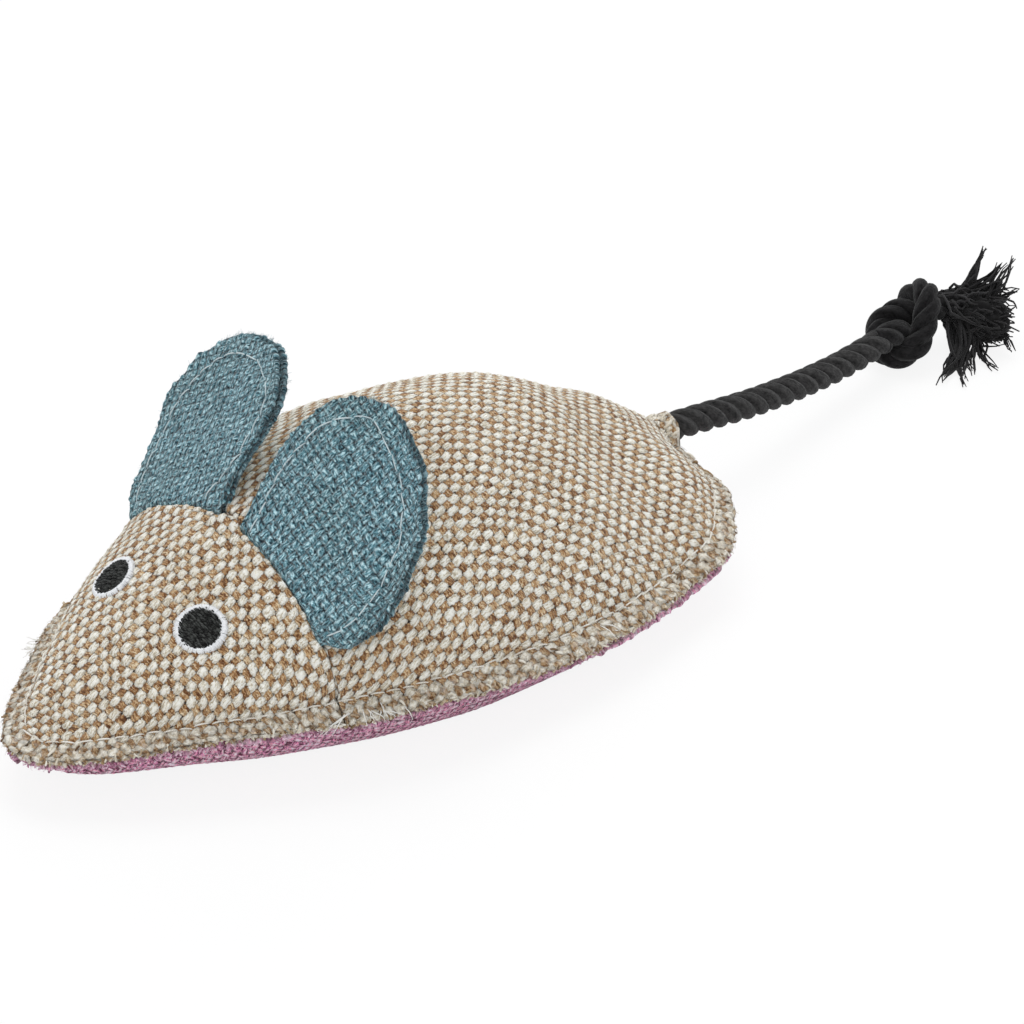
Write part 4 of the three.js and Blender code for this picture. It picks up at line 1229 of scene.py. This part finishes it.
# %% The collar
dice = np.random.default_rng(401)
collar = []
for _ in range(110):
    turn = dice.uniform(-0.3 * math.pi, 1.3 * math.pi)
    radial = np.array((math.cos(turn), 0, math.sin(turn)))
    base = np.array((0, dice.uniform(82.5, 86.0), 19.6)) + radial * (rope_radius + 0.4)
    lean = unit(np.array((0, 1.0, 0)) + radial * dice.uniform(-0.1, 0.5) + dice.normal(size=3) * 0.3)
    collar.append(curly_line(dice, [base, base + lean * dice.uniform(0.9, 1.9)], 0.25, count=6))
collar_yarns = copies("tail_collar_yarns", yarn_end, collar, tapered(dice, 0.22, 0.46, len(collar), tip=0.5),
                      0.4 * dice.random(len(collar)))
settle("top_cloth", collar_yarns)

# %% The loose threads
strands = []
seam_side_angle, across_seam = float(angle_at(head_length + 1.0)), np.linspace(0, 1, 7)
for _ in range(6):
    slip, way = dice.normal() * 0.004, dice.uniform(0.035, 0.085)
    marks = np.linspace(3.4, dice.uniform(5.6, 6.8), 7)
    up = 0.35 + 0.3 * np.sin(math.pi * across_seam) - (1.5 * across_seam) ** 2
    strands.append(rim(seam_side_angle + slip - way * across_seam, 1, marks, up + 0.15 * dice.normal()))
groups = ((seam_side_angle + 0.05, 3.4, 6), (float(angle_at(118.0)), 2.6, 4), (float(angle_at(60.0)), 4.2, 7))
for centre, out, count in groups:
    for _ in range(count):
        angle = centre + dice.normal() * 0.018
        base = rim(angle, 1, out + dice.normal() * 0.8, 0.3)
        beyond = rim(angle, 1, out + 3, 0.0) - base
        lean = unit(beyond + dice.normal(size=3) * 1.1 + (0, 0.9, 0.5))
        length = dice.uniform(1.5, 4.5)
        tip = base + length * unit(lean + (0, 0, -0.25))
        strands.append(curly_line(dice, [base, base + 0.5 * length * lean, tip], 0.2, count=7))
far_side = float(angle_at(23.0))
for _ in range(12):
    base = rim(far_side + dice.normal() * 0.02, -1, rim_width, -0.2)
    beyond = rim(far_side, -1, rim_width + 2, 0.4) - rim(far_side, -1, rim_width, 0)
    lean = unit(beyond + dice.normal(size=3) * 0.45)
    strands.append(curly_line(dice, [base, base + lean * dice.uniform(1.5, 3.2)], 0.15, count=7))
loose_threads = copies("loose_threads", yarn_end, strands, (0.13, 0.12, 0.05), 0.3 * dice.random(len(strands)))
settle("seam_thread", loose_threads)
print("collar yarns", len(collar), "loose threads", len(strands))

# %% [markdown]
# ## Finishes
# Every finish here is thread or cloth, so all share one shader: rough, hardly glossy, with a little sheen from
# loose fibres. What sets them apart is the pattern of their colour and height, which is written with a few short
# helpers. Each reads its place on the flat cut, which cloth counts in yarns and rope in millimetres, and so the
# pattern stays in place when a piece bends.

# %% Short helpers for patterns
def ink(red, green, blue):
    """A colour as it looks on a screen, from 0 to 255, as the shader needs it."""
    line = lambda c: c / 12.92 if c <= 0.04045 else ((c + 0.055) / 1.055) ** 2.4
    return (*(line(c / 255) for c in (red, green, blue)), 1)


def feed(tree, place, part):
    """Gives a node's input another node's output, a worked-out number, or a plain number or colour."""
    part = part.socket if isinstance(part, Value) else part
    if isinstance(part, bpy.types.NodeSocket):
        tree.links.new(part, place)
    else:
        place.default_value = part


def add_node(tree, kind, **inputs):
    """Adds a node and feeds its inputs by name, with _ for a space in the name."""
    node = tree.nodes.new("ShaderNode" + kind)
    for name, part in inputs.items():
        feed(tree, node.inputs[name.replace("_", " ")], part)
    return node


class Value:
    """A number that a material works out at each point. Arithmetic on it adds the nodes that do the sum."""

    def __init__(self, tree, socket):
        self.tree, self.socket = tree, socket

    def sum(self, operation, *parts):
        node = add_node(self.tree, "Math")
        node.operation = operation
        for place, part in zip(node.inputs, parts):
            feed(self.tree, place, part)
        return Value(self.tree, node.outputs[0])

    def __add__(self, other): return self.sum("ADD", self, other)
    def __radd__(self, other): return self.sum("ADD", other, self)
    def __sub__(self, other): return self.sum("SUBTRACT", self, other)
    def __rsub__(self, other): return self.sum("SUBTRACT", other, self)
    def __mul__(self, other): return self.sum("MULTIPLY", self, other)
    def __rmul__(self, other): return self.sum("MULTIPLY", other, self)
    def cos(self): return self.sum("COSINE", self)
    def size(self): return self.sum("ABSOLUTE", self)
    def round(self): return self.sum("ROUND", self)
    def most(self, other): return self.sum("MAXIMUM", self, other)
    def least(self, other): return self.sum("MINIMUM", self, other)
    def power(self, exponent): return self.sum("POWER", self, exponent)

    def ramp(self, low, high):
        """Goes smoothly from 0 at the low value to 1 at the high one."""
        node = add_node(self.tree, "MapRange", Value=self, From_Min=low, From_Max=high)
        node.interpolation_type = "SMOOTHSTEP"
        return Value(self.tree, node.outputs["Result"])


class Finish:
    """One material: rough thread or cloth, whose colour and height are filled in by a pattern."""

    def __init__(self, name, rough=0.9, sheen=0.15, specular=0.2):
        self.material = bpy.data.materials.new(name)
        self.material.use_nodes = True
        self.tree = self.material.node_tree
        self.shader = self.tree.nodes["Principled BSDF"]
        for place, value in (("Roughness", rough), ("Specular IOR Level", specular), ("Sheen Weight", sheen),
                             ("Sheen Roughness", 0.5)):
            self.shader.inputs[place].default_value = value

    def cut(self):
        """The place on the flat cut."""
        node = add_node(self.tree, "UVMap")
        node.uv_map = "cut"
        parts = add_node(self.tree, "SeparateXYZ", Vector=node.outputs[0])
        return Value(self.tree, parts.outputs[0]), Value(self.tree, parts.outputs[1])

    def number(self, name="tone"):
        """A number that the mesh carries: each copy of a yarn has its tone."""
        node = add_node(self.tree, "Attribute")
        node.attribute_name = name
        return Value(self.tree, node.outputs["Fac"])

    def vector(self, x, y, z=0.0):
        return add_node(self.tree, "CombineXYZ", X=x, Y=y, Z=z).outputs[0]

    def speckle(self, x, y, z):
        """A chance number for each whole place."""
        node = add_node(self.tree, "TexWhiteNoise", Vector=self.vector(x, y, z))
        return Value(self.tree, node.outputs["Value"])

    def cloud(self, vector, scale=1.0, detail=2.0):
        node = add_node(self.tree, "TexNoise", Vector=vector, Scale=scale, Detail=detail)
        return Value(self.tree, node.outputs["Fac"])

    def here(self):
        """The place on the object itself, in metres."""
        return add_node(self.tree, "TexCoord").outputs["Object"]

    def tint(self, share, *stops):
        """A colour for each share, between those at the stops."""
        node = add_node(self.tree, "ValToRGB", Fac=share)
        ramp = node.color_ramp
        while len(ramp.elements) < len(stops):
            ramp.elements.new(0.5)
        for element, (place, colour) in zip(ramp.elements, stops):
            element.position, element.color = place, colour
        return node.outputs[0]

    def blend(self, share, first, second, how="MIX"):
        """Mixes the second colour over the first, by a share from 0 to 1."""
        node = add_node(self.tree, "Mix")
        node.data_type, node.blend_type = "RGBA", how
        for name, part in (("Factor_Float", share), ("A_Color", first), ("B_Color", second)):
            feed(self.tree, next(i for i in node.inputs if i.identifier == name), part)
        return next(o for o in node.outputs if o.identifier == "Result_Color")

    def fill(self, colour, height):
        """Connects the pattern. The height is in millimetres."""
        feed(self.tree, self.shader.inputs["Base Color"], colour)
        bump = add_node(self.tree, "Bump", Distance=MM, Strength=1.0, Height=height)
        feed(self.tree, self.shader.inputs["Normal"], bump.outputs[0])
        return self.material

# %% [markdown]
# ## Woven finishes
# The weave is worked out from the two counts of yarns, s and t. Every other crossing shows a float of the yarn
# that runs along s, and the rest show one along t. Each float is a rounded knob about its own crossing, so every
# place has a nearest knob of each kind, and the higher of the two shows. The corners between four knobs are the
# deep places. The shade there, a thin line where the two kinds meet, and a dimming of every low part are painted
# into the colour. A sink above 0 lowers the second kind, so the first kind bulges over it.

# %% Weave a finish
knob_length, knob_breadth, knob_roundness = 1.72, 1.84, 2.6


def nearest_knob(cloth, s, t, turn, loose):
    """Where a point lies from the nearest float of one kind, and two whole numbers that name that float."""
    p, q = 0.5 * (s + t) + turn, 0.5 * (s - t) + turn
    i, j = p.round(), q.round()
    slip = loose * (cloth.speckle(i, j, 1.5 + turn) - 0.5)
    return (p - i) + (q - j) + slip, (p - i) - (q - j) + slip, i, j


def knob_height(along, aside, depth, strands):
    """A float's height: 1 on its top, down to 0 at its outline, with a furrow between each two strands."""
    furrow = depth * 0.5 * (1 + ((aside + 0.5) * (2 * math.pi * strands)).cos())
    ends, flanks = (part.size().power(knob_roundness) for part in (along * knob_length, aside * knob_breadth))
    return 1 - ends - flanks - furrow


def woven(name, floats, crossings, gap, low_shade, strands=3, groove=(0.0, 0.4), sink=0.12, height=0.45, fleece=0.1,
          outline=0.35, grain=(2, 6), mottle=0.25, sheen=0.15, loose=0.1, ragged=0.45, frays=None, shadow=None):
    """A cloth. floats and crossings are the colours of its two kinds of yarn, and gap that of the painted shade in
    the deep places and where the floats meet. A second colour is multiplied over the low parts as painted shade,
    and where a shadow colour is given, it is painted over the points that the mesh marks as shaded.
    Fibres run with the grain, mottle sets cell apart from cell, and ragged and loose make the yarns uneven."""
    cloth = Finish(name, sheen=sheen)
    s, t = cloth.cut()
    wander_s, wander_t = (cloth.cloud(cloth.vector(s * 4.5, t * 4.5, at)) - 0.5 for at in (1.5, 8.5))
    s, t = s + ragged * wander_s, t + ragged * wander_t
    first_s, first_t, i, j = nearest_knob(cloth, s, t, 0.0, loose)
    second_s, second_t, m, n = nearest_knob(cloth, s, t, 0.5, loose)
    over = knob_height(first_s, first_t, groove[0], strands)
    under = knob_height(second_t, second_s, groove[1], strands) - sink
    on_top = over.most(under)

    chance_over, chance_cell = cloth.speckle(i, j, 3.5), cloth.speckle(m, n, 7.5)
    chance_strand = cloth.speckle(m * strands + (second_s * strands).round(), n, 9.5)
    along, aside = grain
    fibres_over = cloth.cloud(cloth.vector(s * along, t * aside, chance_over * 9), detail=3).ramp(0.25, 0.75)
    fibres_under = cloth.cloud(cloth.vector(s * (aside * 1.3), t * along, chance_strand * 9), detail=3)
    fibres_under = fibres_under.ramp(0.25, 0.75)
    first = cloth.tint(chance_over * (0.4 * mottle) + fibres_over * (1 - 0.4 * mottle), *floats)
    second = chance_cell * (0.5 * mottle) + chance_strand * mottle + fibres_under * (1 - 1.5 * mottle)
    yarn = cloth.blend((under - over).ramp(-0.05, 0.05), first, cloth.tint(second, *crossings))

    # Painted shade: a thin dark line where the two kinds of float meet, and the gap colour in the deep corners.
    meeting_shade = outline * (1 - (over - under).size().ramp(0.0, 0.35))
    hollow_shade = 1 - (on_top + 0.4 * (fibres_over - 0.5)).ramp(-0.55, 0.05)
    shown = cloth.blend(meeting_shade.most(hollow_shade), yarn, gap)
    # Painted shade: the low parts of the weave are multiplied by a dimmer colour.
    shown = cloth.blend(0.3 * (1 - on_top.ramp(0.0, 0.7)), shown, low_shade, "MULTIPLY")
    broad = cloth.cloud(cloth.here(), scale=45)
    shown = cloth.blend(0.5 * broad.ramp(0.35, 0.75), shown, ink(236, 230, 222), "MULTIPLY")
    raised = height * on_top.most(-0.5) + fleece * (fibres_over + fibres_under - 1)
    if frays:
        tangle = cloth.cloud(cloth.here(), scale=800, detail=5)
        fray_and_shade = (cloth.number("fray_and_shade") + 0.9 * (cloth.cloud(cloth.here(), scale=380) - 0.5)).ramp(0.25, 0.85)
        shown = cloth.blend(0.4 * fray_and_shade, shown, cloth.tint(tangle, *frays))
        raised = raised + 0.5 * fray_and_shade * tangle
    # Painted shadow: where a shadow colour is given, the cloth is darkened by the number that each point carries.
    if shadow:
        shown = cloth.blend(cloth.number("fray_and_shade"), shown, shadow, "MULTIPLY")
    return cloth.fill(shown, raised)


# %% The three cloths
# In each cloth, the gap colour and the dimmer colour are painted shade for the deep places and the low parts.
top_finish = woven(
    "hopsack_cream_brown",
    floats=((0.1, ink(184, 171, 148)), (0.42, ink(240, 234, 218)), (0.66, ink(255, 254, 247))),
    crossings=((0.2, ink(98, 61, 34)), (0.42, ink(166, 121, 78)), (0.6, ink(210, 173, 127)),
               (0.84, ink(247, 231, 200))),
    gap=ink(40, 28, 18), low_shade=ink(170, 152, 130), mottle=0.22,
    frays=((0.38, ink(66, 48, 32)), (0.46, ink(142, 116, 84)), (0.54, ink(212, 201, 180)),
           (0.62, ink(248, 243, 232))))
ear_shades = ((0.16, ink(14, 50, 62)), (0.44, ink(98, 145, 159)), (0.62, ink(134, 184, 198)),
              (0.84, ink(212, 246, 254)))
ear_finish = woven(
    "basket_weave_blue_green", floats=ear_shades, crossings=ear_shades, gap=ink(14, 40, 50),
    low_shade=ink(104, 136, 148), strands=2, groove=(0.3, 0.3), sink=0.0, height=0.75, fleece=0.16, outline=0.45,
    grain=(2.0, 4.2), mottle=0.08, sheen=0.3, loose=0.15, ragged=0.26, shadow=ink(74, 94, 102))
belly_shades = ((0.24, ink(100, 38, 68)), (0.38, ink(208, 120, 166)), (0.5, ink(255, 186, 230)),
                (0.58, ink(255, 138, 164)), (0.7, ink(255, 236, 252)))
belly_finish = woven(
    "weave_mauve", floats=belly_shades, crossings=belly_shades, gap=ink(116, 66, 88), low_shade=ink(186, 140, 162),
    strands=2, groove=(0.25, 0.25), sink=0.0, height=0.45, fleece=0.15, outline=0.3, grain=(1.4, 3), mottle=0.1,
    sheen=0.3, loose=0.2, ragged=0.35,
    frays=((0.38, ink(104, 54, 76)), (0.5, ink(196, 144, 170)), (0.62, ink(246, 220, 233))))

# %% Yarn, thread and embroidery
def yarn_finish(name, *stops, sheen=0.2):
    yarn = Finish(name, rough=0.92, sheen=sheen)
    u, v = yarn.cut()
    fibres = yarn.cloud(yarn.vector(u * 3 + v * 2, v * 9, yarn.number() * 40))
    return yarn.fill(yarn.tint(yarn.number() * 0.75 + fibres * 0.25, *stops), 0.06 * fibres)


def thread_finish(name, low, high, twists=5, rough=0.7, sheen=0.1, specular=0.35, flecks_and_glints=0.35):
    thread = Finish(name, rough=rough, sheen=sheen, specular=specular)
    u, v = thread.cut()
    # ply makes the colour darker in the grooves between the plies: painted shade.
    ply = (2 * math.pi * (u * twists + v * 2)).cos()
    fibres = thread.cloud(thread.vector(u * 3, v * 0.5, thread.number() * 60))
    # Flecks vary each thread's tone along it; on the black satin they are painted glints of light.
    shade = 0.5 + 0.18 * ply + 2.2 * flecks_and_glints * (fibres - 0.5) + flecks_and_glints * (thread.number() - 0.5)
    return thread.fill(thread.tint(shade, (0.1, low), (0.8, high)), 0.03 * ply + 0.03 * fibres)


top_yarn = yarn_finish("yarn_cream_brown", (0.1, ink(240, 236, 226)), (0.42, ink(206, 196, 176)),
                       (0.6, ink(166, 138, 102)), (0.85, ink(96, 72, 50)))
ear_yarn = yarn_finish("yarn_blue_green", (0.1, ink(76, 112, 124)), (0.5, ink(112, 150, 160)),
                       (0.9, ink(156, 190, 198)))
belly_yarn = yarn_finish("yarn_mauve", (0.1, ink(128, 74, 100)), (0.5, ink(196, 144, 170)),
                         (0.9, ink(242, 214, 228)))
white_yarn = yarn_finish("yarn_white", (0.1, ink(250, 249, 245)), (0.9, ink(226, 222, 212)))
seam_thread = thread_finish("thread_off_white", ink(206, 198, 184), ink(248, 245, 238))
ear_thread = thread_finish("thread_pale_blue", ink(168, 190, 196), ink(224, 234, 236))
satin_white = thread_finish("satin_thread_white", ink(232, 234, 238), ink(253, 254, 255), twists=3, rough=0.45,
                            specular=0.5)
# The light flecks of the black fill are painted glints of light on its satin.
satin_black = thread_finish("satin_thread_black", ink(0, 0, 0), ink(74, 76, 74), twists=3, rough=0.5, sheen=0.0,
                            specular=0.25, flecks_and_glints=0.8)

# %% Rope, filling and catnip
def rope_finish(name, low, high, yarns=6, pitch=5.2):
    strand = Finish(name, rough=1.0, sheen=0.12, specular=0.05)
    u, v = strand.cut()
    # ply makes the colour darker in the grooves between the yarns: painted shade.
    ply = (2 * math.pi * (v * yarns - u * (1 / pitch))).cos()
    fibres = strand.cloud(strand.vector(u * 1.6 - v * 5, v * 30), detail=4)
    lint = strand.cloud(strand.here(), scale=700, detail=4)
    shade = 0.5 + 0.08 * ply + 0.7 * (fibres - 0.5) + 0.8 * (lint - 0.5)
    return strand.fill(strand.tint(shade, (0.2, low), (0.8, high)), 0.05 * ply + 0.22 * fibres + 0.2 * lint)


def cloudy_finish(name, sheen, scale, detail, relief, *stops):
    matter = Finish(name, rough=0.95, sheen=sheen)
    cloud = matter.cloud(matter.here(), scale, detail)
    return matter.fill(matter.tint(cloud, *stops), relief * cloud)


rope_black = rope_finish("cotton_rope_black", ink(16, 16, 16), ink(66, 65, 65))
# The knot is the same rope as the tail, its finish painted darker as shade.
knot_black_shaded = rope_finish("cotton_knot_black_shaded", ink(9, 9, 9), ink(40, 39, 40))
tuft_black = yarn_finish("cotton_yarn_black", (0.1, ink(16, 15, 16)), (0.9, ink(50, 49, 50)), sheen=0.1)
filling_white = cloudy_finish("polyester_filling", 0.4, 260, 5, 0.8, (0.3, ink(222, 222, 218)),
                              (0.7, ink(250, 250, 248)))
catnip_green = cloudy_finish("dried_catnip", 0, 700, 4, 0.7, (0.3, ink(70, 74, 38)), (0.55, ink(122, 124, 72)),
                             (0.75, ink(156, 148, 100)))

# %% Put each finish on its pieces
def dress(finish, *pieces):
    for piece in pieces:
        piece.data.materials.clear()
        piece.data.materials.append(finish)


dress(top_finish, head_cloth, back_cloth)
dress(belly_finish, belly_cloth)
dress(top_yarn, rim_yarns, rim_fibres, collar_yarns)
dress(belly_yarn, belly_yarns, belly_fibres)
dress(white_yarn, loose_threads)
for _, front, back, thread, fibres in ear_pieces.values():
    dress(ear_finish, front, back)
    dress(ear_thread, thread)
    dress(ear_yarn, fibres)
dress(satin_white, *eye_whites)
dress(satin_black, *eye_blacks)
dress(rope_black, rope)
dress(knot_black_shaded, knot)
dress(tuft_black, tuft, core)
dress(filling_white, upper_pad, lower_pad)
dress(catnip_green, bpy.data.objects["catnip_wad"])
dress(seam_thread, seam_stitches, bpy.data.objects["head_seam_thread"])

# %% [markdown]
# ## Floor and light
# The photograph is a cut-out on pure white, lit softly from above. A pale floor bounces light up onto the belly
# as the studio's table did. For the camera and for reflections it is mixed towards plain white, so it shows
# only a faint shadow, and the light on the mouse stays at a level at which colours come out as written.

# %% Floor
leave_none_selected()
bpy.ops.mesh.primitive_plane_add(size=14, location=(0, 0, 0))
floor = bpy.context.object
floor.name = "studio_floor"
floor.location.z = -0.0002


def mix_shaders(tree, share, first, second, output):
    """Shows the second shader over the first by a share from 0 to 1."""
    mix = add_node(tree, "MixShader")
    for place, part in zip(mix.inputs, (share, first.outputs[0], second.outputs[0])):
        feed(tree, place, part)
    feed(tree, tree.nodes[output].inputs["Surface"], mix.outputs[0])


floor_white = Finish("studio_white", rough=0.9, sheen=0, specular=0.1)
floor_white.shader.inputs["Base Color"].default_value = (0.95, 0.95, 0.95, 1)
tree = floor_white.tree
rays = add_node(tree, "LightPath").outputs
seen = (Value(tree, rays["Is Camera Ray"]) + Value(tree, rays["Is Glossy Ray"])).least(1)
mix_shaders(tree, 0.87 * seen, floor_white.shader, add_node(tree, "Emission"), "Material Output")
floor.data.materials.append(floor_white.material)

# %% World and lamps
scene = bpy.context.scene
scene.view_settings.view_transform = "Standard"
world = bpy.data.worlds.new("studio")
scene.world = world
world.use_nodes = True
tree = world.node_tree
air = tree.nodes["Background"]
air.inputs["Color"].default_value = (0.97, 0.985, 1, 1)
air.inputs["Strength"].default_value = 0.64
plain = add_node(tree, "Background", Color=(1, 1, 1, 1), Strength=1)
mix_shaders(tree, add_node(tree, "LightPath").outputs["Is Camera Ray"], air, plain, "World Output")


def soft_lamp(name, place, power, size):
    """A square lamp that shines at the mouse."""
    leave_none_selected()
    bpy.ops.object.light_add(type="AREA", location=place)
    lamp = bpy.context.object
    lamp.name = name
    lamp.data.energy, lamp.data.size = power, size
    lamp.rotation_euler = (Vector((0, 0, 0.03)) - Vector(place)).to_track_quat("-Z", "Y").to_euler()


soft_lamp("overhead", (-0.35, 0.25, 1.25), 7.6, 0.9)
soft_lamp("front_left", (1.0, -1.0, 0.9), 4.4, 0.8)
soft_lamp("behind", (-0.8, 1.1, 0.8), 5.0, 0.9)
